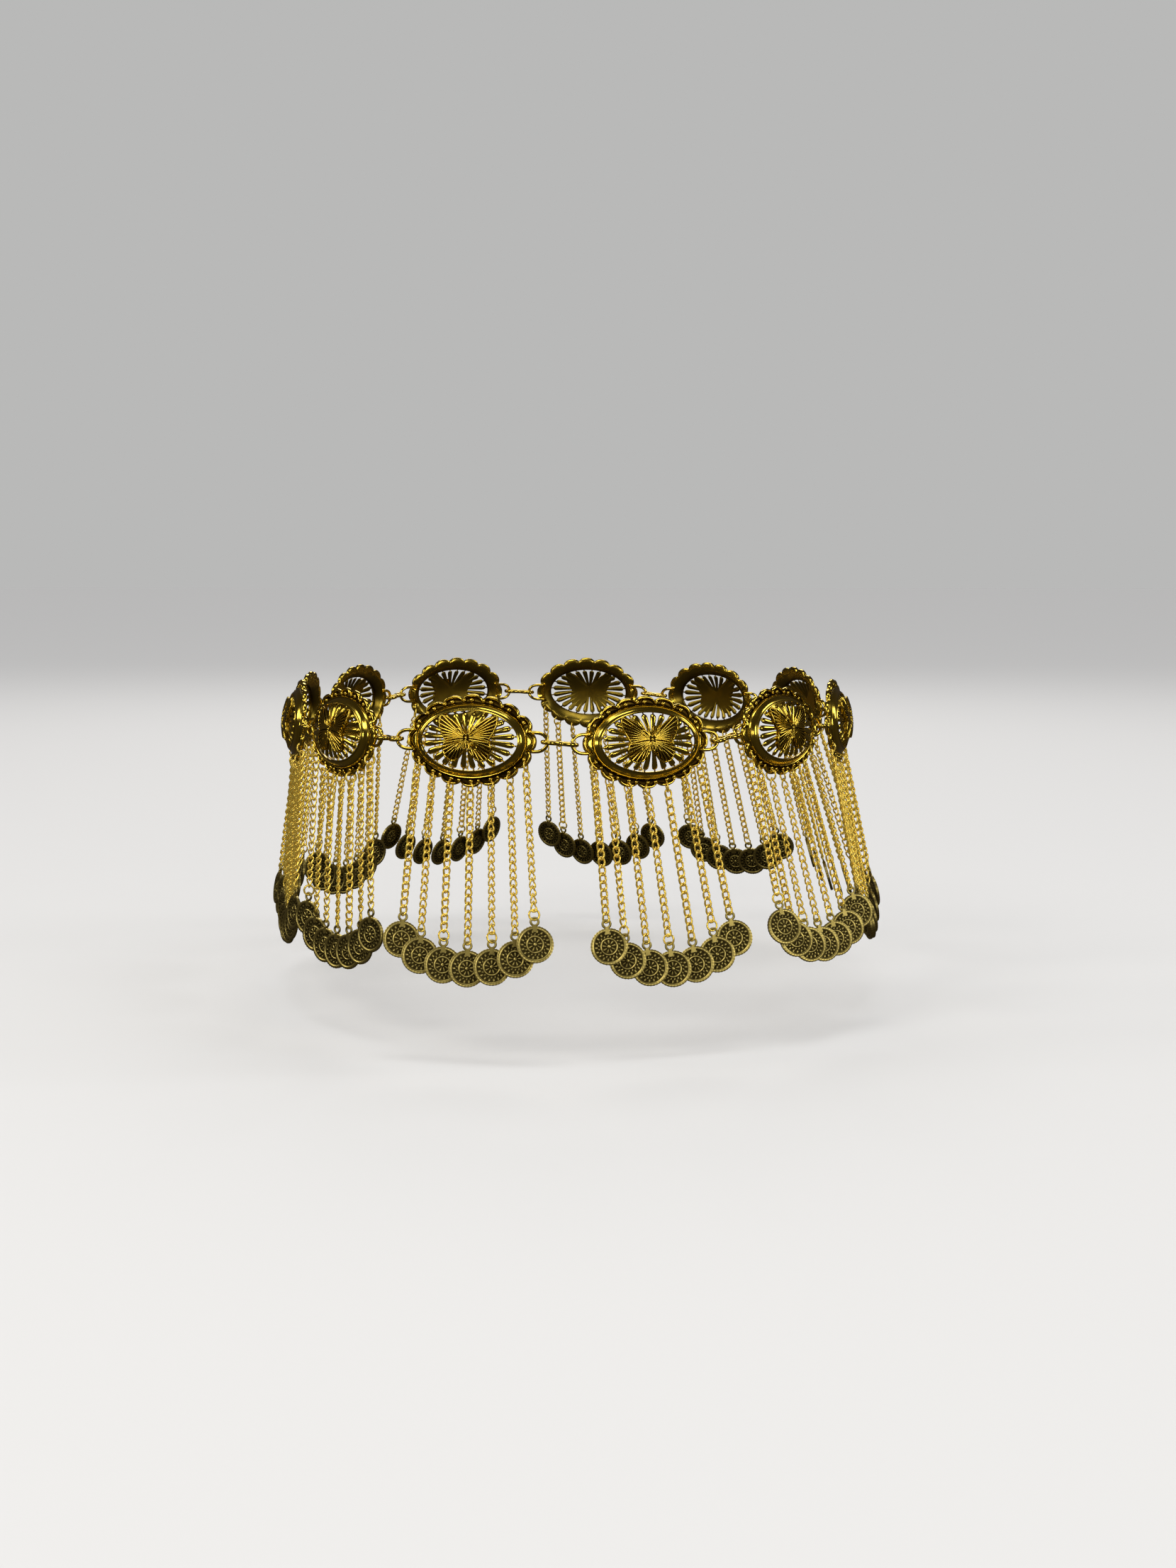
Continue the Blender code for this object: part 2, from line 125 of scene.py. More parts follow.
@dataclass(frozen=True)
class GoldFinish:
    """One gilded finish: its colours, polish and wear, with one dark colour for patina and for painted shade.
    """

    metal: Metal
    polished: Color
    shade_and_tarnish_color: Color
    metallic: float
    roughness: float
    dull_roughness: float
    mottle: float
    grain: float

    # How many features a metre and how many octaves the two noises have
    MOTTLE_NOISE = (240.0, 3.0)
    GRAIN_NOISE = (2600.0, 2.0)
    GRAIN_DEPTH = 0.02 * MM
    # The values of the soft noise from which and up to which the metal grows duller
    MOTTLE_FROM = 0.35
    MOTTLE_TO = 0.75

    def material(self) -> bpy.types.Material:
        """Return the finish as a material, made once."""
        found = bpy.data.materials.get(self.metal.value)
        if found is not None:
            return found
        made = bpy.data.materials.new(self.metal.value)
        made.use_nodes = True
        tree = made.node_tree
        shade_and_tarnish = self.shade_and_tarnish(tree)
        color = add_node(tree, "ShaderNodeMix", {
            "Factor": shade_and_tarnish, "A": (*self.polished, 1.0), "B": (*self.shade_and_tarnish_color, 1.0)}, data_type="RGBA")
        gloss = add_node(tree, "ShaderNodeMapRange", {
            "Value": shade_and_tarnish, "To Min": self.roughness, "To Max": self.dull_roughness})
        bump = add_node(tree, "ShaderNodeBump", {
            "Height": self.noise(tree, *self.GRAIN_NOISE), "Strength": self.grain,
            "Distance": self.GRAIN_DEPTH})
        feed(tree.nodes["Principled BSDF"], {
            "Metallic": self.metallic, "Base Color": color.outputs["Result"],
            "Roughness": gloss.outputs["Result"], "Normal": bump.outputs["Normal"]})
        return made

    def shade_and_tarnish(self, tree: bpy.types.NodeTree) -> bpy.types.NodeSocket:
        """Return how dark and dull the metal is: patina in its recesses and painted shade on the plates' ray
        sides and rim backs, as the mesh gives it, broken up by a soft mottle.

        Args:
            tree: the material's nodes.

        Returns:
            A value from 0, polished, to 1, darkest, both for tarnish and for painted shade.
        """
        recess = add_node(tree, "ShaderNodeAttribute", attribute_name="patina_and_shade")
        uneven = add_node(tree, "ShaderNodeMapRange", {
            "Value": self.noise(tree, *self.MOTTLE_NOISE), "From Min": self.MOTTLE_FROM,
            "From Max": self.MOTTLE_TO, "To Max": self.mottle})
        total = add_node(tree, "ShaderNodeMath", {0: recess.outputs["Fac"], 1: uneven.outputs["Result"]},
                         operation="ADD", use_clamp=True)
        return total.outputs["Value"]

    @staticmethod
    def noise(tree: bpy.types.NodeTree, scale: float, detail: float) -> bpy.types.NodeSocket:
        """Return a noise on the object's own coordinates.

        Args:
            tree: the material's nodes.
            scale: how many features it has in a metre.
            detail: how many octaves it has.

        Returns:
            The noise, from 0 to 1.
        """
        place = add_node(tree, "ShaderNodeTexCoord").outputs["Object"]
        inputs = {"Vector": place, "Scale": scale, "Detail": detail}
        return add_node(tree, "ShaderNodeTexNoise", inputs).outputs["Fac"]


FINISHES = {finish.metal: finish for finish in (
    GoldFinish(
        metal=Metal.PLATE, polished=(0.78, 0.55, 0.070), shade_and_tarnish_color=(0.034, 0.017, 0.002),
        metallic=1.0, roughness=0.12, dull_roughness=0.38, mottle=0.10, grain=0.25),
    GoldFinish(
        metal=Metal.CHAIN, polished=(1.0, 0.72, 0.12), shade_and_tarnish_color=(0.60, 0.34, 0.04),
        metallic=0.80, roughness=0.20, dull_roughness=0.36, mottle=0.12, grain=0.2),
    GoldFinish(
        metal=Metal.COIN, polished=(0.66, 0.52, 0.15), shade_and_tarnish_color=(0.050, 0.037, 0.010),
        metallic=1.0, roughness=0.28, dull_roughness=0.55, mottle=0.16, grain=0.6),
)}


def choose(*items: Item) -> None:
    """Select these objects and nothing else.

    Args:
        *items: the objects, of which the first becomes the active one.
    """
    bpy.ops.object.select_all(action="DESELECT")
    for item in items:
        item.select_set(True)
    if items:
        bpy.context.view_layer.objects.active = items[0]


@contextmanager
def edit_mode(item: Item) -> Iterator[None]:
    """Work on one object in edit mode, all of it selected at first, and leave edit mode at the end.

    Args:
        item: the object to work on.
    """
    choose(item)
    bpy.ops.object.mode_set(mode="EDIT")
    bpy.ops.mesh.select_all(action="SELECT")
    yield
    bpy.ops.object.mode_set(mode="OBJECT")


def close_up(item: Item) -> Item:
    """Merge a mesh's doubles, bridge the two rims that are left open, and turn its faces outwards.

    Args:
        item: the mesh object to finish.

    Returns:
        The same object.
    """
    with edit_mode(item):
        bpy.ops.mesh.remove_doubles(threshold=MERGE)
        bpy.ops.mesh.select_mode(type="EDGE")
        bpy.ops.mesh.select_all(action="DESELECT")
        bpy.ops.mesh.select_non_manifold()
        if any(edge.select for edge in bmesh.from_edit_mesh(item.data).edges):
            bpy.ops.mesh.bridge_edge_loops()
        bpy.ops.mesh.select_mode(type="VERT")
        bpy.ops.mesh.select_all(action="SELECT")
        bpy.ops.mesh.normals_make_consistent(inside=False)
    return item


def loft(name: str, around: int, rows: Sequence, place: Callable) -> Item:
    """Model a closed shell from a circle that is extruded from row to row.

    Args:
        name: the object's name.
        around: how many corners the circle has.
        rows: what each row of corners is placed by, one after another.
        place: gives a corner's point and darkening (patina in recesses, and painted shade on the plate's ray
            sides and rim back) from its share of the way round and its row.

    Returns:
        The shell, as a mesh object.
    """
    choose()
    bpy.ops.mesh.primitive_circle_add(vertices=around, radius=1.0, fill_type="NOTHING")
    shell = bpy.context.object
    shell.name = name
    shares = shell.data.attributes.new("around", "FLOAT", "POINT")
    shares.data.foreach_set("value", [corner / around for corner in range(around)])
    shell.data.attributes.new("patina_and_shade", "FLOAT", "POINT")
    with edit_mode(shell):
        for number, row in enumerate(rows):
            if number > 0:
                bpy.ops.mesh.extrude_edges_move()
            mesh = bmesh.from_edit_mesh(shell.data)
            share = mesh.verts.layers.float["around"]
            patina_and_shade = mesh.verts.layers.float["patina_and_shade"]
            for corner in mesh.verts:
                if corner.select:
                    corner.co, corner[patina_and_shade] = place(corner[share], row)
            bmesh.update_edit_mesh(shell.data)
    return close_up(shell)


def tube(name: str, path: Sequence[Vector], thickness: float, sides: int = 6, closed: bool = False,
         swell: Sequence[float] | None = None) -> Item:
    """Model a round wire along a path.

    Args:
        name: the object's name.
        path: the points of its centre line.
        thickness: the wire's thickness.
        sides: how many sides it has, an even number from 4.
        closed: whether the last point joins the first.
        swell: how thick the wire is at each point, as a share of its thickness.

    Returns:
        The wire, as a mesh object.
    """
    line = bpy.data.curves.new(name, "CURVE")
    line.dimensions = "3D"
    line.bevel_depth = thickness / 2.0
    line.bevel_resolution = (sides - 4) // 2
    line.use_fill_caps = not closed
    spline = line.splines.new("POLY")
    spline.points.add(len(path) - 1)
    for index, place in enumerate(path):
        spline.points[index].co = (*place, 1.0)
        spline.points[index].radius = swell[index] if swell else 1.0
    spline.use_cyclic_u = closed
    wire = bpy.data.objects.new(name, line)
    bpy.context.scene.collection.objects.link(wire)
    choose(wire)
    bpy.ops.object.convert(target="MESH")
    return close_up(bpy.context.object)


def dress(item: Item, metal: Metal, smooth: float = SMOOTH_ANGLE) -> Item:
    """Shade a template smooth and give it its metal.

    Args:
        item: the template.
        metal: what it is made of.
        smooth: the largest angle between two faces that still looks smooth.

    Returns:
        The same object.
    """
    choose(item)
    bpy.ops.object.shade_smooth_by_angle(angle=smooth)
    item.data.materials.clear()
    item.data.materials.append(FINISHES[metal].material())
    return item


def tinted(item: Item, patina_and_shade: float) -> Item:
    """Give a whole mesh one patina.

    Args:
        item: the mesh object.
        patina_and_shade: from 0, polished, to 1, dark.

    Returns:
        The same object.
    """
    layer = item.data.attributes.get("patina_and_shade") or item.data.attributes.new("patina_and_shade", "FLOAT", "POINT")
    layer.data.foreach_set("value", [patina_and_shade] * len(item.data.vertices))
    return item


def settled(patina_and_shade: float) -> Item:
    """Return the primitive that was just added, with its place in its mesh and one patina."""
    bpy.ops.object.transform_apply(location=True, rotation=True, scale=True)
    return tinted(bpy.context.object, patina_and_shade)


def placed_copy(template: Item, placement: Matrix, name: str) -> Item:
    """Copy a template, with the copy's place in its own mesh.

    Args:
        template: the object to copy.
        placement: where the copy goes.
        name: the copy's name.

    Returns:
        The copy.
    """
    mesh = template.data.copy()
    mesh.transform(placement)
    made = bpy.data.objects.new(name, mesh)
    bpy.context.scene.collection.objects.link(made)
    return made


def joined(name: str, parts: Sequence[Item]) -> Item:
    """Join several mesh objects into the first of them.

    Args:
        name: the whole's name.
        parts: the mesh objects, each at the origin.

    Returns:
        The whole.
    """
    choose(*parts)
    if len(parts) > 1:
        bpy.ops.object.join()
    whole = bpy.context.object
    whole.name = name
    whole.data.name = name
    return whole


def discard(item: Item) -> None:
    """Remove a template that has been copied."""
    bpy.data.meshes.remove(item.data)


def hand_over(piece: Item, slot: str, *nodes: str) -> None:
    """Let a finished piece ride on the chain's body in place of its plain solids, and report it.

    Args:
        piece: the finished piece.
        slot: the record's material slot; not used.
        nodes: the plain solids that it stands for.
    """
    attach(piece, BODY)
    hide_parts(*nodes)
    piece.data.calc_loop_triangles()
    LOG.info("%s: %d triangles in place of %s", piece.name, len(piece.data.loop_triangles), ", ".join(nodes))


def axes(origin: Vector, across: Vector, up: Vector) -> Matrix:
    """Return a placement with X across and Z up, its face towards -Y."""
    back = up.cross(across)
    return Matrix.Translation(origin) @ Matrix((across, back, up)).transposed().to_4x4()


def between(start: Vector, end: Vector, along: Vector) -> Matrix:
    """Return the placement half way between two points, with X along and Y level.

    Args:
        start: the first point.
        end: the second point.
        along: the way from the one to the other.

    Returns:
        The placement.
    """
    level = UP.cross(along).normalized()
    turn = Matrix((along, level, along.cross(level))).transposed().to_4x4()
    return Matrix.Translation((start + end) / 2.0) @ turn


def outward(azimuth: float, elevation: float) -> Vector:
    """Return the way out from the chain, by its angle from the wearer's front and its rise."""
    level = math.cos(elevation)
    return Vector((math.sin(azimuth) * level, -math.cos(azimuth) * level, math.sin(elevation)))


def turns(count: int, shift: float = 0.0) -> list[float]:
    """Return the angles of evenly spaced points round a circle, moved on by a share of a step."""
    return [FULL_TURN * (step + shift) / count for step in range(count)]


def shares(steps: int) -> list[float]:
    """Return even shares of a way, from 0 to 1."""
    return [step / steps for step in range(steps + 1)]


@dataclass(frozen=True)
class HipLine:
    """The line that the plates' centres follow round the hips."""

    half_width: float = 123.4 * MM
    front_depth: float = 84.7 * MM
    back_depth: float = 111.4 * MM
    power: float = 2.09
    steps: int = 1440

    @cached_property
    def points(self) -> np.ndarray:
        """Points round the line, from the wearer's left side."""
        angles = np.linspace(0.0, FULL_TURN, self.steps + 1)
        across, along = np.cos(angles), np.sin(angles)
        depth = np.where(along < 0.0, self.front_depth, self.back_depth)
        x = np.sign(across) * np.abs(across) ** (2.0 / self.power) * self.half_width
        y = np.sign(along) * np.abs(along) ** (2.0 / self.power) * depth
        return np.column_stack((x, y))

    @cached_property
    def lengths(self) -> np.ndarray:
        """The length of the line up to each point."""
        steps = np.linalg.norm(np.diff(self.points, axis=0), axis=1)
        return np.concatenate(([0.0], np.cumsum(steps)))

    def at(self, arc: float) -> Vector:
        """Return a point of the line.

        Args:
            arc: its distance along the line from the wearer's left side.

        Returns:
            The point.
        """
        arc %= self.lengths[-1]
        x, y = (np.interp(arc, self.lengths, self.points[:, axis]) for axis in (0, 1))
        return Vector((x, y, 0.0))


@dataclass(frozen=True)
class Hang:
    """How one plate's strands hang, in degrees, and its height above the ring's level, in millimetres.

    The strands flare out from the body, sway along the ring, and fan out at the outer two. The coins turn on
    their strands.
    """

    flare: float
    sway: float
    fan: float
    turn: float
    lift: float


# One row a plate, from the clasp onwards
HANGS = (
    Hang(flare=18.0, sway=-2.0, fan=3.0, turn=24.0, lift=0.3),
    Hang(flare=20.0, sway=1.0, fan=4.0, turn=-26.0, lift=-0.4),
    Hang(flare=17.0, sway=-3.0, fan=3.0, turn=25.0, lift=0.2),
    Hang(flare=20.0, sway=-2.0, fan=4.0, turn=-24.0, lift=0.5),
    Hang(flare=7.0, sway=0.0, fan=3.0, turn=20.0, lift=-0.2),
    Hang(flare=8.0, sway=2.0, fan=2.0, turn=-22.0, lift=0.0),
    Hang(flare=5.0, sway=0.0, fan=3.0, turn=-16.0, lift=0.2),
    Hang(flare=4.0, sway=1.0, fan=2.0, turn=-14.0, lift=0.7),
    Hang(flare=18.0, sway=4.0, fan=2.5, turn=-25.0, lift=0.8),
    Hang(flare=14.0, sway=4.0, fan=2.0, turn=20.0, lift=0.0),
    Hang(flare=20.0, sway=-2.0, fan=2.0, turn=30.0, lift=1.2),
    Hang(flare=13.0, sway=0.0, fan=2.0, turn=-22.0, lift=0.5),
)


@dataclass(frozen=True)
class Girdle:
    """Where the plates lie round the hip line."""

    line: HipLine = HipLine()
    pitch: float = 56.15 * MM
    clasp_arc: float = 191.5 * MM
    half_chord: float = 21.5 * MM
    lean: float = math.radians(5.6)

    def placement(self, index: int) -> Matrix:
        """Return the placement of a plate: tangent to the hip line, its top leaning to the body.

        Args:
            index: which plate it is, from the clasp onwards.

        Returns:
            The placement.
        """
        closing = self.line.lengths[-1] - (len(HANGS) - 1) * self.pitch
        arc = self.clasp_arc + closing / 2.0 + index * self.pitch
        along = self.line.at(arc + self.half_chord) - self.line.at(arc - self.half_chord)
        place = self.line.at(arc)
        place.z = HANGS[index].lift * MM
        turn = Euler((-self.lean, 0.0, math.atan2(along.y, along.x)))
        return Matrix.Translation(place) @ turn.to_matrix().to_4x4()


@dataclass(frozen=True)
class RimRow:
    """One line of the plate's cast rim, in millimetres in from its edge and out from its back.

    The darkening is 0 where the line is polished and 1 where it lies in a dark recess with patina, and on the
    rim's inner wall and back it is painted shade; the scallop is the share of the edge's scallops that the
    line follows.
    """

    inset: float
    depth: float
    patina_and_shade: float
    scallop: float = 0.0


RIM_ROWS = (
    RimRow(inset=0.22, depth=0.00, patina_and_shade=0.3, scallop=1.0),
    RimRow(inset=0.00, depth=0.25, patina_and_shade=0.2, scallop=1.0),
    RimRow(inset=0.00, depth=0.95, patina_and_shade=0.0, scallop=1.0),
    RimRow(inset=0.16, depth=1.36, patina_and_shade=0.0, scallop=1.0),
    RimRow(inset=0.50, depth=1.54, patina_and_shade=0.0, scallop=1.0),
    RimRow(inset=0.84, depth=1.32, patina_and_shade=0.0, scallop=1.0),
    RimRow(inset=1.00, depth=0.90, patina_and_shade=0.8, scallop=1.0),
    RimRow(inset=1.16, depth=0.64, patina_and_shade=1.0, scallop=0.96),
    RimRow(inset=1.34, depth=0.62, patina_and_shade=1.0, scallop=0.85),
    RimRow(inset=2.05, depth=0.66, patina_and_shade=0.9, scallop=0.45),
    RimRow(inset=2.66, depth=0.82, patina_and_shade=1.0, scallop=0.05),
    RimRow(inset=2.86, depth=1.30, patina_and_shade=0.9),
    RimRow(inset=2.96, depth=1.90, patina_and_shade=0.1),
    RimRow(inset=3.10, depth=2.12, patina_and_shade=0.0),
    RimRow(inset=3.26, depth=2.08, patina_and_shade=0.1),
    RimRow(inset=3.38, depth=1.94, patina_and_shade=1.0),
    RimRow(inset=3.52, depth=2.08, patina_and_shade=0.3),
    RimRow(inset=4.10, depth=2.74, patina_and_shade=0.0),
    RimRow(inset=4.72, depth=3.36, patina_and_shade=0.0),
    RimRow(inset=4.92, depth=3.36, patina_and_shade=0.9),
    RimRow(inset=5.06, depth=3.66, patina_and_shade=0.0),
    RimRow(inset=5.28, depth=3.74, patina_and_shade=0.0),
    RimRow(inset=5.45, depth=3.44, patina_and_shade=0.4),
    # From here to the end the rows run down the mouth's inner wall and over the closed back, darkened with
    # painted shade where a hollow cast back would lie in shadow
    RimRow(inset=5.45, depth=2.40, patina_and_shade=0.9),
    RimRow(inset=5.20, depth=1.95, patina_and_shade=0.8),
    RimRow(inset=3.60, depth=0.95, patina_and_shade=0.6),
    RimRow(inset=2.80, depth=0.20, patina_and_shade=0.5, scallop=0.1),
    RimRow(inset=1.60, depth=0.00, patina_and_shade=0.4, scallop=0.9),
)


@dataclass(frozen=True)
class WingPoint:
    """One point of the butterfly's outline: its direction from the body in degrees, and its reach in mm."""

    direction: float
    reach: float


# One side of the butterfly, from below its body to above it
WING_OUTLINE = (
    WingPoint(-90.0, 3.0), WingPoint(-80.0, 3.3), WingPoint(-72.0, 5.2), WingPoint(-65.0, 7.5),
    WingPoint(-55.0, 8.8), WingPoint(-42.0, 9.5), WingPoint(-28.0, 9.0), WingPoint(-14.0, 8.0),
    WingPoint(-8.0, 7.1), WingPoint(6.0, 8.0), WingPoint(17.0, 9.4), WingPoint(28.0, 11.0),
    WingPoint(37.0, 12.0), WingPoint(41.0, 11.2), WingPoint(46.0, 8.6), WingPoint(51.0, 5.2),
    WingPoint(57.0, 2.8), WingPoint(66.0, 1.7), WingPoint(90.0, 1.1),
)


@dataclass(frozen=True)
class RibFan:
    """A wing's fan of raised ribs and the small loop at its root, in degrees and millimetres.

    The ribs leave the root along its lead and bow out to the margin, from the first to the last direction.
    """

    first: float
    last: float
    lead: float
    bow: float
    count: int
    loop: float
    loop_reach: float
    loop_length: float


RIB_FANS = (
    RibFan(first=39.5, last=-6.5, lead=46.0, bow=0.55, count=8, loop=42.0, loop_reach=2.9, loop_length=3.2),
    RibFan(first=-11.0, last=-76.0, lead=-22.0, bow=0.50, count=9, loop=-45.0, loop_reach=3.5,
           loop_length=2.8),
)


@dataclass
class Plate:
    """A cast oval plate: scalloped rim, bead pairs, bezel, open middle with rays, butterfly and end loops."""

    half_length: float = 21.5 * MM
    half_height: float = 14.9 * MM
    oval_steps: int = 720
    rim_corners: int = 192
    scallops: int = 16
    scallop_depth: float = 1.4 * MM
    scallop_round: float = 2.6
    bead_radius: float = 0.66 * MM
    bead_sides: int = 8
    bead_rings: int = 5
    bead_width: float = 1.1
    bead_flatness: float = 0.9
    bead_inset: float = 2.0 * MM
    bead_depth: float = 0.95 * MM
    field_reach: float = 0.046
    field_fade: float = 0.008
    field_slope: float = 0.364
    mark_wire: float = 0.17 * MM
    thin_sides: int = 4
    mouth_inset: float = 5.4 * MM
    dome_foot: float = 3.4 * MM
    dome_height: float = 5.9 * MM
    ray_count: int = 24
    ray_half_width: float = 0.98 * MM
    ray_rise: float = 0.66 * MM
    ray_sink: float = 0.35 * MM
    ray_overlap: float = 0.2 * MM
    ray_end: float = 0.55
    wing_corners: int = 144
    wing_centre: float = 0.6 * MM
    wing_drop: float = 0.8
    wing_lift: float = 0.35 * MM
    wing_thickness: float = 1.1 * MM
    margin_wire: float = 0.56 * MM
    margin_reach: float = 0.985
    margin_lift: float = 0.06 * MM
    margin_swell: float = 0.9
    margin_bead_swell: float = 1.35
    margin_bead_below: float = -0.1
    rib_wire: float = 0.64 * MM
    rib_lift: float = 0.20 * MM
    rib_gather: float = 0.40
    rib_start: float = 0.14
    rib_reach: float = 0.97
    root_loop_half_width: float = 0.58 * MM
    root_loop_swell: float = 0.25
    root_loop_corners: int = 14
    root_loop_lift: float = 0.30 * MM
    root_loop_share: float = 0.8
    body_lift: float = 0.25 * MM
    body_sides: int = 12
    body_rings: int = 7
    feeler_wire: float = 0.34 * MM
    feeler_lift: float = 0.2 * MM
    feeler_curve: float = 1.6
    loop_reach: float = 4.2 * MM
    loop_half_height: float = 3.6 * MM
    loop_wire: float = 1.15 * MM
    loop_sides: int = 8
    loop_root: float = 2.6 * MM
    loop_sink: float = 0.6 * MM
    loop_depth: float = 0.55 * MM
    loop_round: float = 0.85
    loop_steps: int = 14
    template: Item = field(init=False)

    # The two beads of a scallop: place in it and length, as shares of the scallop and of a round bead
    BEAD_PAIR = ((0.03, 1.35), (0.42, 1.1))
    # A step round the rim, as a share of it, that shows which way it runs
    AHEAD = 0.002
    # The smooth fields at the ends, in millimetres: their insets, their middle, and their depth at the edge
    FIELD_INSETS = (1.3, 2.7)
    FIELD_MIDDLE = 2.0
    FIELD_FOOT = 0.31
    # The two ends with their share of the way round the rim
    FIELDS = ((0.0, End.RIGHT), (0.5, End.LEFT))
    # Marks in a field: place round the rim as a share, corners, half height and half width in millimetres
    MARKS = ((0.0, 4, 0.80, 0.55), (0.025, 8, 0.36, 0.36), (-0.025, 8, 0.36, 0.36))
    MARK_LIFT = 0.02
    # Cross-section of a ray, as shares of its half width and rise, with the darkening of each corner: painted
    # shade on the sides and underside, standing in for the shadow between the rays
    RAY_SECTION = (
        (-1.0, 0.05, 0.8), (-0.66, 0.72, 0.1), (0.0, 1.0, 0.0), (0.66, 0.72, 0.1),
        (1.0, 0.05, 0.8), (0.0, -0.9, 0.6),
    )
    # Widths along a ray from the bezel to the butterfly: share of its length and share of its half width
    RAY_WIDTHS = (
        (0.0, 0.0), (0.0, 0.26), (0.09, 0.26), (0.11, 0.66), (0.15, 0.95), (0.24, 1.02),
        (0.42, 0.86), (0.68, 0.64), (1.0, 0.42), (1.0, 0.0),
    )
    # Rows of the wings' ground: share of the outline's reach, lift as a share of the thickness, and patina
    WING_ROWS = (
        (0.0, -1.0, 0.6), (0.6, -1.0, 0.6), (1.0, -1.0, 0.6), (1.0, 0.0, 0.6), (0.94, -0.1, 1.0),
        (0.7, -0.1, 1.0), (0.45, -0.1, 1.0), (0.2, 0.0, 1.0), (0.0, 0.0, 1.0),
    )
    # Thickness along a rib from the root to the margin, as shares of its wire
    RIB_SWELL = (0.36, 0.50, 0.64, 0.76, 0.86, 0.94, 1.0, 1.0)
    # Beads of the butterfly's body, as height and radius in millimetres
    BODY_BEADS = (
        (0.70, 0.56), (0.02, 0.46), (-0.48, 0.44), (-0.95, 0.42), (-1.40, 0.39), (-1.82, 0.36), (-2.22, 0.32),
    )
    # A feeler's start and its reach from there, to the side and up in millimetres, and its thickness
    FEELER_START = (0.25, 1.2)
    FEELER_REACH = (1.25, 3.9)
    FEELER_SWELL = (1.0, 1.0, 1.0, 1.0, 1.0, 1.6)

    @cached_property
    def edge_lengths(self) -> np.ndarray:
        """The length of the oval edge up to each step, as a share of the whole."""
        angles = np.linspace(0.0, FULL_TURN, self.oval_steps + 1)
        edge = np.column_stack((self.half_length * np.cos(angles), self.half_height * np.sin(angles)))
        steps = np.linalg.norm(np.diff(edge, axis=0), axis=1)
        return np.concatenate(([0.0], np.cumsum(steps))) / steps.sum()

    def angle(self, share: float) -> float:
        """Return the angle on the oval at a share of the way round its edge."""
        steps = np.linspace(0.0, FULL_TURN, self.oval_steps + 1)
        return float(np.interp(share % 1.0, self.edge_lengths, steps))

    def point(self, angle: float, inset: float, depth: float) -> Vector:
        """Return a point on the oval.

        Args:
            angle: its angle on the oval.
            inset: how far the oval is drawn in.
            depth: how far it lies in front of the plate's back.

        Returns:
            The point.
        """
        x = (self.half_length - inset) * math.cos(angle)
        z = (self.half_height - inset) * math.sin(angle)
        return Vector((x, -depth, z))

    def scallop_drop(self, share: float) -> float:
        """Return how far the scalloped edge lies inside the oval at a share of the way round it."""
        offset = abs((share * self.scallops + 0.5) % 1.0 - 0.5) * 2.0
        return self.scallop_depth * offset ** self.scallop_round

    def dome(self, x: float, z: float, drop: float = 1.0) -> float:
        """Return how far the dome's front stands out at a place on the plate.

        Args:
            x: the place's distance to the right of the plate's middle.
            z: its height over the plate's middle.
            drop: how much of the dome's own fall is taken, less than 1 for a flatter dome.

        Returns:
            The distance from the plate's back.
        """
        across = x / (self.half_length - self.mouth_inset)
        up = z / (self.half_height - self.mouth_inset)
        fall = (self.dome_height - self.dome_foot) * min(across**2 + up**2, 1.0)
        return self.dome_height - drop * fall

    def end_field(self, share: float) -> float:
        """Return how far a place on the rim belongs to the smooth field at the plate's ends, from 0 to 1."""
        distance = abs((share * 2.0 + 0.5) % 1.0 - 0.5) / 2.0
        return min(max((self.field_reach + self.field_fade - distance) / self.field_fade, 0.0), 1.0)

    def wing_reach(self, direction: float) -> float:
        """Return how far the butterfly's outline lies from its body.

        Args:
            direction: the direction from the body.

        Returns:
            The distance.
        """
        side = math.degrees(math.atan2(math.sin(direction), abs(math.cos(direction))))
        directions = [point.direction for point in WING_OUTLINE]
        reaches = [point.reach * MM for point in WING_OUTLINE]
        return float(np.interp(side, directions, reaches))

    def on_wing(self, direction: float, reach: float, lift: float) -> Vector:
        """Return a point on the wings' surface at a distance from the head, raised by a lift."""
        x, z = reach * math.cos(direction), self.wing_centre + reach * math.sin(direction)
        return Vector((x, -(self.dome(x, z, self.wing_drop) + self.wing_lift + lift), z))

    def on_dome(self, x: float, z: float, lift: float) -> Vector:
        """Return a point of the butterfly's body at a place on the plate, raised by a lift."""
        return Vector((x, -(self.dome(x, z) + self.wing_lift + lift), z))

    def build(self) -> None:
        """Model the whole plate once, as the template of all of them."""
        makers = (self.rim, self.beads, self.end_marks, self.rays, self.wings, self.ribs, self.body)
        parts = [make() for make in makers] + [self.end_loop(end) for end in End]
        self.template = dress(joined("plate_template", parts), Metal.PLATE)

    def rim(self) -> Item:
        """Return the scalloped rim with its wire edge, recess and bezel."""
        field_start, field_end = self.FIELD_INSETS

        def place(share: float, row: RimRow) -> tuple[Vector, float]:
            """Place a corner of the rim.

            Args:
                share: the corner's share of the way round.
                row: the row that it is on.

            Returns:
                Its point and darkening: patina in the recesses, painted shade on the back.
            """
            inset = row.inset * MM + self.scallop_drop(share) * row.scallop
            smooth = self.end_field(share) if field_start < row.inset < field_end else 0.0
            sloped = self.FIELD_FOOT + self.field_slope * row.inset
            depth = (row.depth + smooth * (sloped - row.depth)) * MM
            return self.point(self.angle(share), inset, depth), row.patina_and_shade * (1.0 - smooth)

        return loft("rim", self.rim_corners, RIM_ROWS, place)

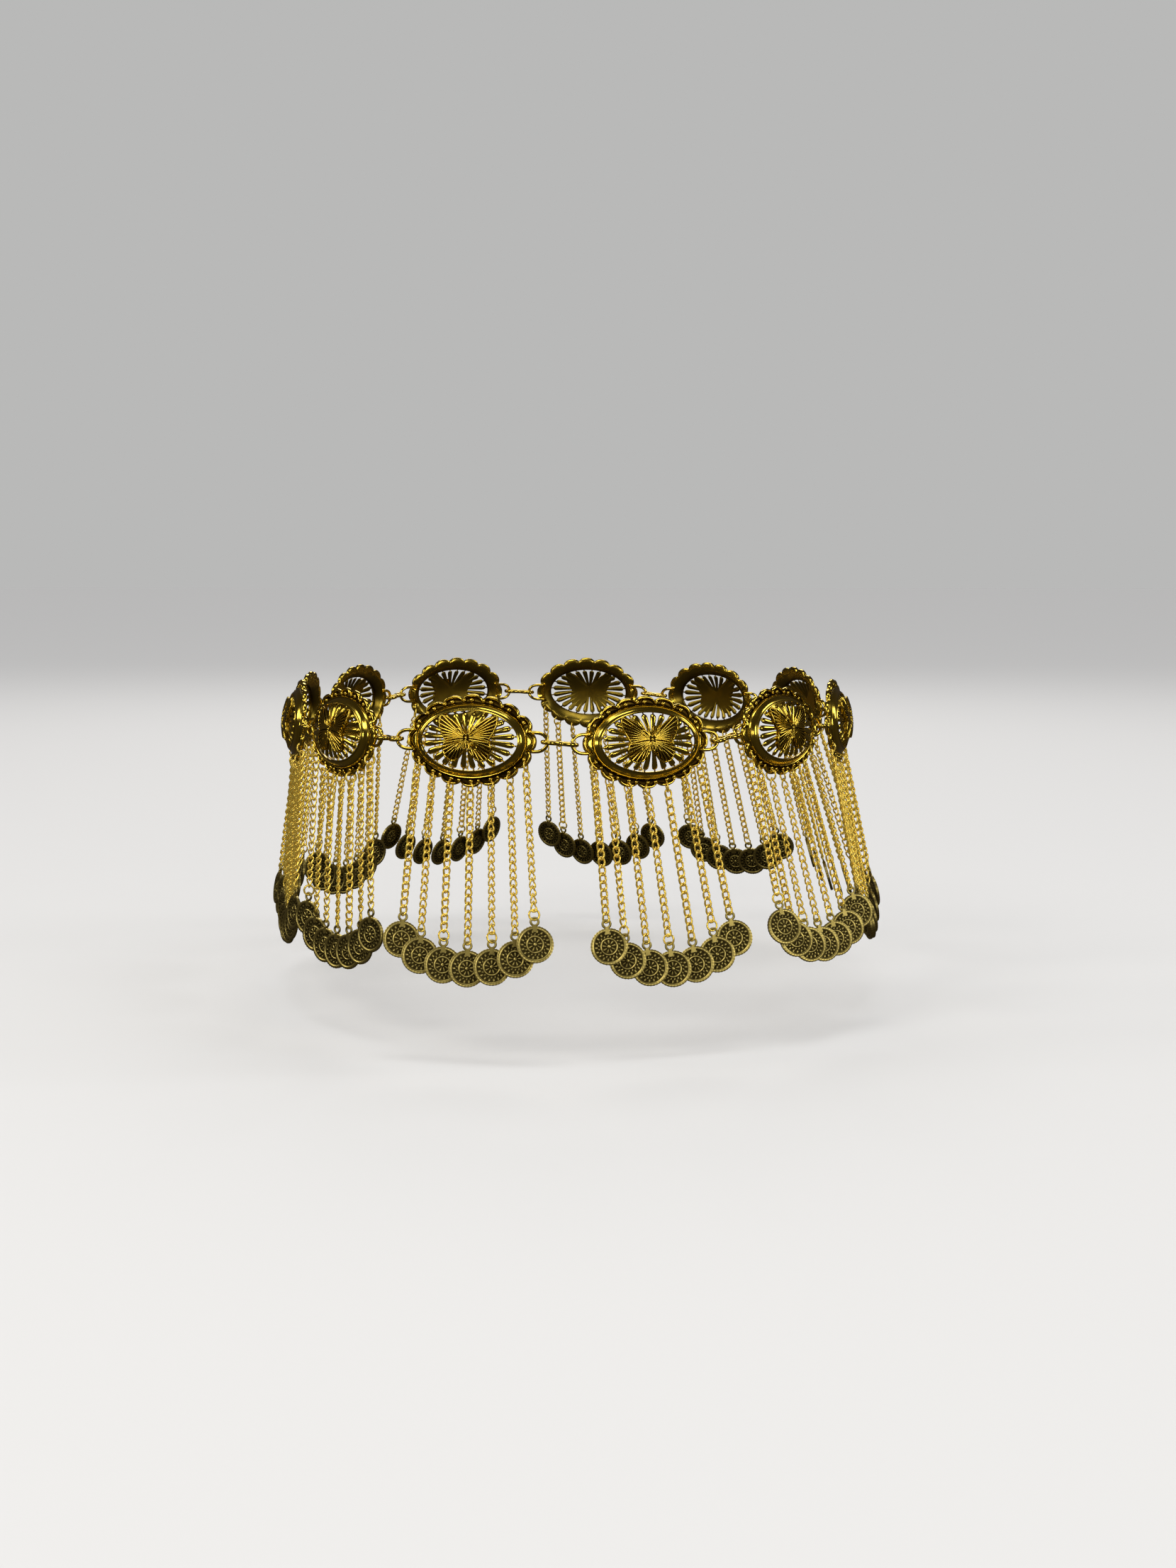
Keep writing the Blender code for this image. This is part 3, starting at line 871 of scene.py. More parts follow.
    def beads(self) -> Item:
        """Return the small beads in the scallops, two to each, except in the smooth fields at the ends."""
        choose()
        bpy.ops.mesh.primitive_uv_sphere_add(
            segments=self.bead_sides, ring_count=self.bead_rings, radius=self.bead_radius)
        bead = settled(0.0)
        copies = []
        for scallop in range(self.scallops):
            for offset, length in self.BEAD_PAIR:
                share = (scallop + offset) / self.scallops
                if self.end_field(share) > 0.0:
                    continue
                place = self.point(self.angle(share), self.bead_inset, self.bead_depth)
                ahead = self.point(self.angle(share + self.AHEAD), self.bead_inset, self.bead_depth)
                stretch = Matrix.Diagonal((length, self.bead_width, self.bead_flatness, 1.0))
                turn = axes(place, (ahead - place).normalized(), FRONT)
                copies.append(placed_copy(bead, turn @ stretch, "bead"))
        discard(bead)
        return close_up(joined("beads", copies))

    def end_marks(self) -> Item:
        """Return the small diamonds and rings that are cut into the smooth fields at the ends."""
        marks = []
        for middle, end in self.FIELDS:
            for offset, corners, height, width in self.MARKS:
                place = self.point(self.angle(middle + offset), self.FIELD_MIDDLE * MM, 0.0)
                path = []
                for turn in turns(corners):
                    across = width * math.cos(turn)
                    inset = self.FIELD_MIDDLE - end.value * across
                    depth = self.FIELD_FOOT + self.field_slope * inset + self.MARK_LIFT
                    path.append(place + Vector((across, -depth, height * math.sin(turn))) * MM)
                marks.append(tube("mark", path, self.mark_wire, sides=self.thin_sides, closed=True))
        return tinted(joined("end_marks", marks), 1.0)

    def rays(self) -> Item:
        """Return the tapered rays between the bezel and the butterfly."""
        sides = len(self.RAY_SECTION)

        def place(share: float, row: tuple[float, float]) -> tuple[Vector, float]:
            """Place a corner of a straight ray.

            Args:
                share: the corner's share of the way round.
                row: the row that it is on.

            Returns:
                Its share of the ray's length, offset across it and rise, as a point, and its painted shade.
            """
            across, rise, patina_and_shade = self.RAY_SECTION[round(share * sides) % sides]
            along, width = row
            taper = min(width, 1.0)
            return Vector((along, across * self.ray_half_width * width, rise * self.ray_rise * taper)), patina_and_shade

        straight = loft("ray", sides, self.RAY_WIDTHS, place)
        middle = Vector((0.0, 0.0, self.wing_centre))
        rays = []
        for number in range(self.ray_count):
            share = (number + 0.5) / self.ray_count
            outer = self.point(self.angle(share), self.mouth_inset - self.ray_overlap, 0.0)
            direction = math.atan2((outer - middle).z, (outer - middle).x)
            reach = self.wing_reach(direction) * self.ray_end
            inner = middle + Vector((math.cos(direction), 0.0, math.sin(direction))) * reach
            across = (inner - outer).cross(FRONT).normalized()
            ray = placed_copy(straight, Matrix.Identity(4), "ray")
            for corner in ray.data.vertices:
                along, side, rise = corner.co
                spot = outer.lerp(inner, along) + across * side
                spot.y = -(self.dome(spot.x, spot.z) - self.ray_sink + rise)
                corner.co = spot
            rays.append(ray)
        discard(straight)
        return close_up(joined("rays", rays))

    def wings(self) -> Item:
        """Return the dark ground of the wings, and the raised line round their margin."""

        def place(share: float, row: tuple[float, float, float]) -> tuple[Vector, float]:
            """Place a corner of the wings' ground.

            Args:
                share: the corner's share of the way round.
                row: the row that it is on.

            Returns:
                Its point and patina.
            """
            direction = FULL_TURN * share
            reach, back, patina_and_shade = row
            spot = self.on_wing(direction, reach * self.wing_reach(direction), back * self.wing_thickness)
            return spot, patina_and_shade

        ground = loft("wings", self.wing_corners, self.WING_ROWS, place)
        path, swell = [], []
        for corner, direction in enumerate(turns(self.wing_corners)):
            reach = self.wing_reach(direction) * self.margin_reach
            path.append(self.on_wing(direction, reach, self.margin_lift))
            beaded = math.sin(direction) < self.margin_bead_below and corner % 2 == 0
            swell.append(self.margin_bead_swell if beaded else self.margin_swell)
        margin = tube("margin", path, self.margin_wire, closed=True, swell=swell)
        return joined("wings", [ground, tinted(margin, 0.0)])

    def ribs(self) -> Item:
        """Return the fans of curved ribs, and the small raised loops at their roots."""
        wires = []
        for fan in RIB_FANS:
            for mirrored in (False, True):
                for number in range(fan.count):
                    end = math.radians(fan.first + (fan.last - fan.first) * number / (fan.count - 1))
                    wires.append(self.rib(fan, end, mirrored))
                wires.append(self.root_loop(fan, mirrored))
        return tinted(joined("ribs", wires), 0.0)

    def rib(self, fan: RibFan, end: float, mirrored: bool) -> Item:
        """Return one rib, which leaves the root along the fan's lead and bows out to the margin.

        Args:
            fan: the fan that it belongs to.
            end: its direction from the head at the margin.
            mirrored: whether it lies on the wing towards -X.

        Returns:
            The rib's wire.
        """
        lead = math.radians(fan.lead) * self.rib_gather + end * (1.0 - self.rib_gather)
        start = Vector((math.cos(lead), math.sin(lead)))
        reach = self.wing_reach(end) * self.rib_reach
        first = start * reach * self.rib_start
        last = Vector((math.cos(end), math.sin(end))) * reach
        bend = first.lerp(last, 0.5) + start * (last - first).length * fan.bow * abs(math.sin(end - lead))
        path = []
        for share in shares(len(self.RIB_SWELL) - 1):
            spot = first.lerp(bend, share).lerp(bend.lerp(last, share), share)
            side = -spot.x if mirrored else spot.x
            path.append(self.on_wing(math.atan2(spot.y, side), spot.length, self.rib_lift))
        return tube("rib", path, self.rib_wire, swell=self.RIB_SWELL)

    def root_loop(self, fan: RibFan, mirrored: bool) -> Item:
        """Return the small raised loop near a wing's root.

        Args:
            fan: the fan that it belongs to.
            mirrored: whether it lies on the wing towards -X.

        Returns:
            The loop's wire.
        """
        direction = math.radians(fan.loop)
        path = []
        for turn in turns(self.root_loop_corners):
            along = (fan.loop_reach + 0.5 * fan.loop_length * math.cos(turn)) * MM
            side = self.root_loop_half_width * math.sin(turn) * (1.0 + self.root_loop_swell * math.cos(turn))
            x = along * math.cos(direction) - side * math.sin(direction)
            z = along * math.sin(direction) + side * math.cos(direction)
            x = -x if mirrored else x
            path.append(self.on_wing(math.atan2(z, x), math.hypot(x, z), self.root_loop_lift))
        return tube("root_loop", path, self.rib_wire * self.root_loop_share, closed=True)

    def body(self) -> Item:
        """Return the butterfly's beaded body and its feelers."""
        parts = []
        for height, radius in self.BODY_BEADS:
            spot = self.on_dome(0.0, height * MM, self.body_lift)
            choose()
            bpy.ops.mesh.primitive_uv_sphere_add(
                segments=self.body_sides, ring_count=self.body_rings, radius=radius * MM, location=spot)
            parts.append(settled(0.0))
        (start_x, start_z), (reach_x, reach_z) = self.FEELER_START, self.FEELER_REACH
        for side in (-1.0, 1.0):
            path = []
            for share in shares(len(self.FEELER_SWELL) - 1):
                x = side * (start_x + reach_x * share**self.feeler_curve) * MM
                path.append(self.on_dome(x, (start_z + reach_z * share) * MM, self.feeler_lift))
            feeler = tube("feeler", path, self.feeler_wire, sides=self.thin_sides, swell=self.FEELER_SWELL)
            parts.append(tinted(feeler, 0.0))
        return joined("body", parts)

    def end_loop(self, end: End) -> Item:
        """Return the round loop that is cast on an end of the plate.

        Args:
            end: the end that it is on.

        Returns:
            The loop.
        """
        start = self.half_length - self.loop_sink
        reach = self.loop_reach + self.loop_sink - self.loop_wire / 2.0
        rise = self.loop_half_height - self.loop_wire / 2.0
        root = self.half_length - self.loop_root
        places = [(root, -rise)]
        for share in shares(self.loop_steps):
            angle = math.pi * (share - 0.5)
            places.append((start + reach * math.cos(angle) ** self.loop_round, rise * math.sin(angle)))
        places.append((root, rise))
        path = [Vector((end.value * x, -self.loop_depth, z)) for x, z in places]
        return tinted(tube("end_loop", path, self.loop_wire, sides=self.loop_sides), 0.0)


@dataclass
class WireLinks:
    """The peanut-shaped wire links between the plates, and at both sides of the clasp."""

    plate: Plate
    wire: float = 1.1 * MM
    thickness: float = 1.4 * MM
    sides: int = 8
    play: float = 0.5 * MM
    half_width: float = 2.6 * MM
    waist: float = 0.80
    waist_reach: float = 0.36
    roundness: float = 0.7
    corners: int = 28
    bar_depth: float = 0.5 * MM
    largest_roll: float = 5.0
    patina_and_shade: float = 0.12

    def bar(self, placement: Matrix, end: End) -> Vector:
        """Return the middle of the outer bar of a plate's loop."""
        reach = self.plate.half_length + self.plate.loop_reach - self.wire / 2.0
        return placement @ Vector((end.value * reach, -self.bar_depth, 0.0))

    def add(self, number: int, start: Vector, end: Vector, start_wire: float | None = None,
            roll: float = 0.0) -> None:
        """Make the link that passes round two bars, and hand it over.

        Args:
            number: the link's number, from the clasp onwards.
            start: the middle of the first bar.
            end: the middle of the second bar.
            start_wire: the first bar's thickness, where it isn't a plate's.
            roll: how far the link has rolled about its long way, in radians.
        """
        along = (end - start).normalized()
        start = start - along * ((start_wire or self.wire) / 2.0 + self.play + self.wire / 2.0)
        end = end + along * (self.wire / 2.0 + self.play + self.wire / 2.0)
        half_length = (end - start).length / 2.0
        half_width = self.half_width - self.wire / 2.0
        path = []
        for turn in turns(self.corners):
            x, y = math.cos(turn), math.sin(turn)
            pinch = 1.0 - self.waist * math.exp(-((x / self.waist_reach) ** 2))
            width = half_width * pinch * math.copysign(abs(y) ** self.roundness, y)
            path.append(Vector((half_length * x, width * math.cos(roll), width * math.sin(roll))))
        link = tube("link", path, self.thickness, sides=self.sides, closed=True)
        made = placed_copy(link, between(start, end, along), f"wire_link_{number:02d}")
        discard(link)
        hand_over(dress(tinted(made, self.patina_and_shade), Metal.PLATE), "antique_gold", f"link_{number:02d}")


@dataclass(frozen=True)
class CoinRow:
    """One circle of a coin, in millimetres: its radius, its height over the coin's middle, and its relief.

    The relief rises in so many marks round the circle, shifted by a share of a mark.
    """

    radius: float
    height: float
    patina_and_shade: float = 0.0
    relief: float = 0.0
    marks: int = 0
    shift: float = 0.0


COIN_ROWS = (
    CoinRow(radius=0.0, height=0.52),
    CoinRow(radius=0.40, height=0.46),
    CoinRow(radius=0.62, height=0.22, patina_and_shade=1.0),
    CoinRow(radius=1.20, height=0.22, patina_and_shade=1.0, relief=0.30, marks=9),
    CoinRow(radius=1.90, height=0.22, patina_and_shade=1.0, relief=0.30, marks=9),
    CoinRow(radius=2.25, height=0.20, patina_and_shade=1.0),
    CoinRow(radius=2.48, height=0.46),
    CoinRow(radius=2.66, height=0.46),
    CoinRow(radius=2.86, height=0.20, patina_and_shade=1.0),
    CoinRow(radius=3.30, height=0.20, patina_and_shade=1.0, relief=0.34, marks=18),
    CoinRow(radius=3.66, height=0.20, patina_and_shade=1.0),
    CoinRow(radius=3.80, height=0.20, patina_and_shade=1.0, relief=0.34, marks=18, shift=0.5),
    CoinRow(radius=4.34, height=0.20, patina_and_shade=1.0, relief=0.34, marks=18, shift=0.5),
    CoinRow(radius=4.66, height=0.20, patina_and_shade=1.0),
    CoinRow(radius=4.96, height=0.54, patina_and_shade=0.1),
    CoinRow(radius=5.50, height=0.54),
    CoinRow(radius=5.84, height=0.40, patina_and_shade=0.1),
)


@dataclass
class Coin:
    """A coin with a raised rim, rings of marks, a rosette and an eye on a neck."""

    corners: int = 72
    milling: float = 0.06 * MM
    milled_patina: float = 0.55
    eye_height: float = 7.2 * MM
    eye_radius: float = 1.22 * MM
    eye_wire: float = 0.80 * MM
    eye_corners: int = 18
    eye_sides: int = 6
    eye_patina: float = 0.3
    neck_half_width: float = 0.62 * MM
    neck_thickness: float = 0.62 * MM
    neck_patina: float = 0.35
    template: Item = field(init=False)

    # The neck from the eye down: height in millimetres, and width as a share of its half width
    NECK_ROWS = ((6.2, 0.9), (5.7, 0.75), (5.6, 0.95), (4.9, 1.2), (4.3, 1.15), (3.9, 0.6))

    def build(self) -> None:
        """Model the coin once, as the template of all of them."""
        self.template = dress(joined("coin_template", [self.disc(), self.neck(), self.eye()]), Metal.COIN)

    def disc(self) -> Item:
        """Return the struck disc, the same on both sides."""
        rows = [(row, -1.0) for row in COIN_ROWS] + [(row, 1.0) for row in reversed(COIN_ROWS)]

        def place(share: float, side_row: tuple[CoinRow, float]) -> tuple[Vector, float]:
            """Place a corner of the disc.

            Args:
                share: the corner's share of the way round.
                side_row: the row that it is on, and the side of the coin.

            Returns:
                Its point and patina.
            """
            row, side = side_row
            angle = FULL_TURN * share
            mark = max(0.0, math.cos(row.marks * angle + FULL_TURN * row.shift)) if row.marks else 0.0
            height = (row.height + row.relief * mark) * MM
            radius = row.radius * MM
            notch = round(share * self.corners) % 2
            if row is COIN_ROWS[-1]:
                radius += self.milling * (1.0 if notch else -1.0)
            spot = Vector((radius * math.sin(angle), side * height, radius * math.cos(angle)))
            milled = self.milled_patina * notch if row in COIN_ROWS[-2:] else 0.0
            return spot, max(row.patina_and_shade * (1.0 - mark), milled)

        return loft("disc", self.corners, rows, place)

    def neck(self) -> Item:
        """Return the flat neck between the eye and the disc, with a round tongue on both faces."""
        choose()
        bpy.ops.mesh.primitive_plane_add(size=1.0)
        neck = bpy.context.object
        with edit_mode(neck):
            for number, (height, width) in enumerate(self.NECK_ROWS):
                if number > 0:
                    bpy.ops.mesh.extrude_region_move()
                mesh = bmesh.from_edit_mesh(neck.data)
                corners = [corner for corner in mesh.verts if corner.select]
                middle = sum((corner.co for corner in corners), Vector()) / len(corners)
                for corner in corners:
                    side = math.copysign(self.neck_half_width * width, corner.co.x - middle.x)
                    deep = math.copysign(self.neck_thickness, corner.co.y - middle.y)
                    corner.co = Vector((side, deep, height * MM))
                bmesh.update_edit_mesh(neck.data)
        return tinted(close_up(neck), self.neck_patina)

    def eye(self) -> Item:
        """Return the round eye at the top of the neck."""
        choose()
        bpy.ops.mesh.primitive_torus_add(
            major_radius=self.eye_radius, minor_radius=self.eye_wire / 2.0,
            major_segments=self.eye_corners, minor_segments=self.eye_sides,
            location=(0.0, 0.0, self.eye_height), rotation=(math.pi / 2.0, 0.0, 0.0))
        return settled(self.eye_patina)


@dataclass
class Strands:
    """The seven curb chains of a plate with their jump rings and coins."""

    plate: Plate
    coin: Coin
    count: int = 7
    coin_reach: float = 57.9 * MM
    root_below: float = 0.35 * MM
    root_behind: float = 0.7 * MM
    hole_inset: float = 1.35 * MM
    hole_depth: float = 0.5 * MM
    link_corners: int = 12
    link_half_length: float = 1.60 * MM
    link_half_width: float = 0.93 * MM
    link_bulge: float = 1.03
    link_wire: float = 0.70 * MM
    link_twist: float = 0.50 * MM
    link_pitch: float = 2.55 * MM
    ring_corners: int = 12
    ring_radius: float = 1.7 * MM
    ring_wire: float = 0.68 * MM
    ring_turn: float = math.radians(50.0)
    wire_sides: int = 4
    wire_smooth: float = math.radians(100.0)
    drift: float = math.radians(34.0)
    wobble: float = 0.12
    hangers: tuple[CoinHanger, ...] = (
        CoinHanger.RING, CoinHanger.LINK, CoinHanger.LINK, CoinHanger.RING, CoinHanger.LINK, CoinHanger.RING,
        CoinHanger.LINK)
    link: Item = field(init=False)
    ring: Item = field(init=False)

    # The share of the way round a plate's rim at the middle of its lower edge
    BOTTOM = 0.75

    def build(self) -> None:
        """Model the curb link and the jump ring once."""
        half_width = self.link_half_width * self.link_bulge
        half_length = self.link_half_length * self.link_bulge
        link = [Vector((half_width * math.cos(turn), self.link_twist * math.sin(2.0 * turn),
                        half_length * math.sin(turn))) for turn in turns(self.link_corners, 0.5)]
        ring = [Vector((math.cos(turn), 0.0, math.sin(turn))) * self.ring_radius
                for turn in turns(self.ring_corners)]
        self.link = self.wire_template("curb_link", link, self.link_wire)
        self.ring = self.wire_template("jump_ring", ring, self.ring_wire)

    def wire_template(self, name: str, path: list[Vector], wire: float) -> Item:
        """Return a closed ring of wire along a path, polished and dressed."""
        made = tube(name, path, wire, sides=self.wire_sides, closed=True)
        return dress(tinted(made, 0.0), Metal.CHAIN, self.wire_smooth)

    def hang(self, index: int, placement: Matrix, dice: random.Random) -> tuple[list[Item], list[Item]]:
        """Hang the strands of one plate.

        Args:
            index: which plate it is, from the clasp onwards.
            placement: the plate's placement.
            dice: the source of the small differences between strands.

        Returns:
            The chain's links and rings, and the coins.
        """
        wires, coins = [], []
        for strand in range(self.count):
            angle = self.plate.angle(self.BOTTOM + (strand - (self.count - 1) / 2.0) / self.plate.scallops)
            root = placement @ self.plate.point(angle, -self.root_below, -self.root_behind)
            hole = placement @ self.plate.point(angle, self.hole_inset, self.hole_depth)
            direction, facing = self.direction(HANGS[index], strand, placement)
            middle = root + direction * self.coin_reach
            across = facing.cross(direction).normalized()
            coins.append(placed_copy(self.coin.template, axes(middle, across, -direction), "coin"))
            eye = middle - direction * self.coin.eye_height
            wires += self.chain(hole, eye, across, self.hangers[(strand + index) % self.count], dice)
        return wires, coins

    def direction(self, hang: Hang, strand: int, placement: Matrix) -> tuple[Vector, Vector]:
        """Return where a strand hangs and which way its coin faces.

        Args:
            hang: how the plate's strands hang.
            strand: which strand it is.
            placement: the plate's placement.

        Returns:
            The strand's direction and its coin's facing.
        """
        spread = (strand - (self.count - 1) / 2.0) / ((self.count - 1) / 2.0)
        sway = math.radians(hang.sway + hang.fan * spread)
        flare = math.radians(hang.flare)
        along = placement.to_3x3() @ Vector((1.0, 0.0, 0.0))
        along.z = 0.0
        along.normalize()
        out = Vector((along.y, -along.x, 0.0))
        hanging = out * math.sin(flare) - UP * math.cos(flare)
        direction = (along * math.sin(sway) + hanging * math.cos(sway)).normalized()
        facing = (out - direction * out.dot(direction)).normalized()
        facing.rotate(Matrix.Rotation(math.radians(hang.turn), 3, direction))
        return direction, facing

    def chain(self, hole: Vector, eye: Vector, across: Vector, hanger: CoinHanger,
              dice: random.Random) -> list[Item]:
        """Return the rings and links between a plate's hole and a coin's eye.

        Args:
            hole: the hole in the plate's rim.
            eye: the middle of the coin's eye.
            across: the way across the coin.
            hanger: what holds the coin's eye.
            dice: the source of the small differences between strands.

        Returns:
            The rings and links, each in its place.
        """
        along = (eye - hole).normalized()
        across = (across - along * across.dot(along)).normalized()
        hook = (self.ring_wire + self.link_wire) / 2.0
        spin = math.pi / 2.0 + dice.uniform(-self.ring_turn, self.ring_turn)
        wires = [self.strung(self.ring, hole + along * self.ring_radius, along, across, spin)]
        start = hole + along * (2.0 * self.ring_radius - hook)
        end = eye - along * self.grip(self.link_wire)
        if hanger is CoinHanger.RING:
            centre = eye - along * (self.grip(self.ring_wire) + self.ring_radius)
            spin = dice.uniform(-self.ring_turn, self.ring_turn)
            wires.append(self.strung(self.ring, centre, along, across, spin))
            end = centre - along * (self.ring_radius - hook)
        span = (end - start).length - 2.0 * self.link_half_length
        gaps = round(span / self.link_pitch)
        turn = dice.uniform(-self.drift, self.drift)
        drift = dice.uniform(-self.drift, self.drift)
        for number in range(gaps + 1):
            centre = start + along * (self.link_half_length + span * number / gaps)
            bearing = turn + drift * number / gaps + dice.uniform(-self.wobble, self.wobble)
            wires.append(self.strung(self.link, centre, along, across, bearing))
        return wires

    def grip(self, wire: float) -> float:
        """Return how far from the middle of a coin's eye a wire in it is held."""
        return self.coin.eye_radius - (self.coin.eye_wire + wire) / 2.0

    @staticmethod
    def strung(template: Item, centre: Vector, along: Vector, across: Vector, turn: float) -> Item:
        """Copy a link or a ring that hangs along a strand.

        Args:
            template: the link or ring.
            centre: the copy's middle.
            along: the way of the strand.
            across: the way across the coin.
            turn: how far the copy is turned about the strand.

        Returns:
            The copy.
        """
        side = across.copy()
        side.rotate(Matrix.Rotation(turn, 3, along))
        return placed_copy(template, axes(centre, side, -along), template.name)


@dataclass
class Clasp:
    """The spring clasp at the back: a hook with its eye, and the lever that shuts it."""

    length: float = 18.0 * MM
    wire: float = 1.3 * MM
    wire_sides: int = 10
    eye_wire: float = 1.1 * MM
    eye_half: float = 2.6 * MM
    eye_corners: int = 20
    eye_sides: int = 8
    hook_half_length: float = 5.4 * MM
    hook_half_height: float = 4.3 * MM
    heel_angle: float = 176.0
    tip_angle: float = 72.0
    lever_gap: float = 12.0
    patina_and_shade: float = 0.1

    # Thickness along the hook and the lever, as shares of their wire
    HOOK_SWELL = (1.25, *(1.1,) * 10, *(1.0,) * 11, 0.75)
    LEVER_SWELL = (0.7, 0.85, *(0.95,) * 7, 1.1, 1.1)
    # The turned neck: place between the eye and the hook, and thickness, both as shares
    NECK_ROWS = ((0.0, 0.9), (0.25, 0.9), (0.3, 1.3), (0.7, 1.3), (0.75, 1.0), (1.0, 1.0))

    def bow(self, name: str, first: float, last: float, swell: tuple[float, ...]) -> Item:
        """Return a wire along the hook's oval.

        Args:
            name: the wire's name.
            first: the angle on the oval at which it starts, in degrees.
            last: the angle at which it ends.
            swell: its thickness at even steps, as shares of the clasp's wire.

        Returns:
            The wire.
        """
        centre = self.length / 2.0 - self.hook_half_length
        path = []
        for share in shares(len(swell) - 1):
            angle = math.radians(first + (last - first) * share)
            x = centre + self.hook_half_length * math.cos(angle)
            path.append(Vector((x, 0.0, self.hook_half_height * math.sin(angle))))
        return tube(name, path, self.wire, sides=self.wire_sides, swell=swell)

    def hook(self, placement: Matrix) -> Item:
        """Return the hook with its neck and its eye.

        Args:
            placement: the clasp's placement.

        Returns:
            The hook, in place.
        """
        bow = self.bow("bow", self.heel_angle, 360.0 + self.tip_angle, self.HOOK_SWELL)
        centre = -self.length / 2.0 + self.eye_half
        ring = [Vector((centre + self.eye_half * math.cos(turn), 0.0, self.eye_half * math.sin(turn)))
                for turn in turns(self.eye_corners)]
        eye = tube("eye", ring, self.eye_wire, sides=self.eye_sides, closed=True)
        start = centre + self.eye_half
        end = self.length / 2.0 - 2.0 * self.hook_half_length
        path = [Vector((start + (end - start) * share, 0.0, 0.0)) for share, _ in self.NECK_ROWS]
        swell = [width for _, width in self.NECK_ROWS]
        neck = tube("neck", path, self.wire, sides=self.wire_sides, swell=swell)
        return self.finished([bow, eye, neck], placement, "spring_clasp_hook")

    def lever(self, placement: Matrix) -> Item:
        """Return the lever that shuts the hook.

        Args:
            placement: the clasp's placement.

        Returns:
            The lever, in place.
        """
        first, last = self.tip_angle + self.lever_gap, 180.0 - 2.0 * self.lever_gap
        bow = self.bow("lever", first, last, self.LEVER_SWELL)
        return self.finished([bow], placement, "spring_clasp_lever")

    def finished(self, parts: list[Item], placement: Matrix, name: str) -> Item:
        """Join, place and dress a part of the clasp.

        Args:
            parts: what it is made of.
            placement: the clasp's placement.
            name: its name.

        Returns:
            The part.
        """
        whole = joined(name, parts)
        whole.data.transform(placement)
        return dress(tinted(whole, self.patina_and_shade), Metal.CHAIN)


@dataclass
class PhotoCamera:
    """The camera at the photograph's angle to the chain."""

    azimuth: float = math.radians(88.0)
    elevation: float = math.radians(5.956)
    roll: float = math.radians(0.086)
    distance: float = 869.69 * MM
    slide_right: float = 21.008 * MM
    slide_up: float = -25.524 * MM
    lens: float = 54.0
    sensor: float = 36.0
    nearest: float = 10.0 * MM

    def build(self) -> None:
        """Place the camera and make it the scene's own."""
        back = outward(self.azimuth, self.elevation)
        right = Vector((math.cos(self.azimuth), math.sin(self.azimuth), 0.0))
        up = back.cross(right)
        place = back * self.distance + right * self.slide_right + up * self.slide_up
        turn = Matrix((right, up, back)).transposed() @ Matrix.Rotation(self.roll, 3, "Z")
        bpy.ops.object.camera_add()
        camera = bpy.context.object
        camera.name = "photo_camera"
        camera.matrix_world = Matrix.Translation(place) @ turn.to_4x4()
        camera.data.lens = self.lens
        camera.data.sensor_width = self.sensor
        camera.data.clip_start = self.nearest
        bpy.context.scene.camera = camera


@dataclass(frozen=True)
class Softbox:
    """One soft light: its direction and distance from the chain, its size, power in watts and warmth."""

    name: str
    azimuth: float
    elevation: float
    distance: float
    width: float
    height: float
    power: float
    color: Color = (1.0, 0.98, 0.95)


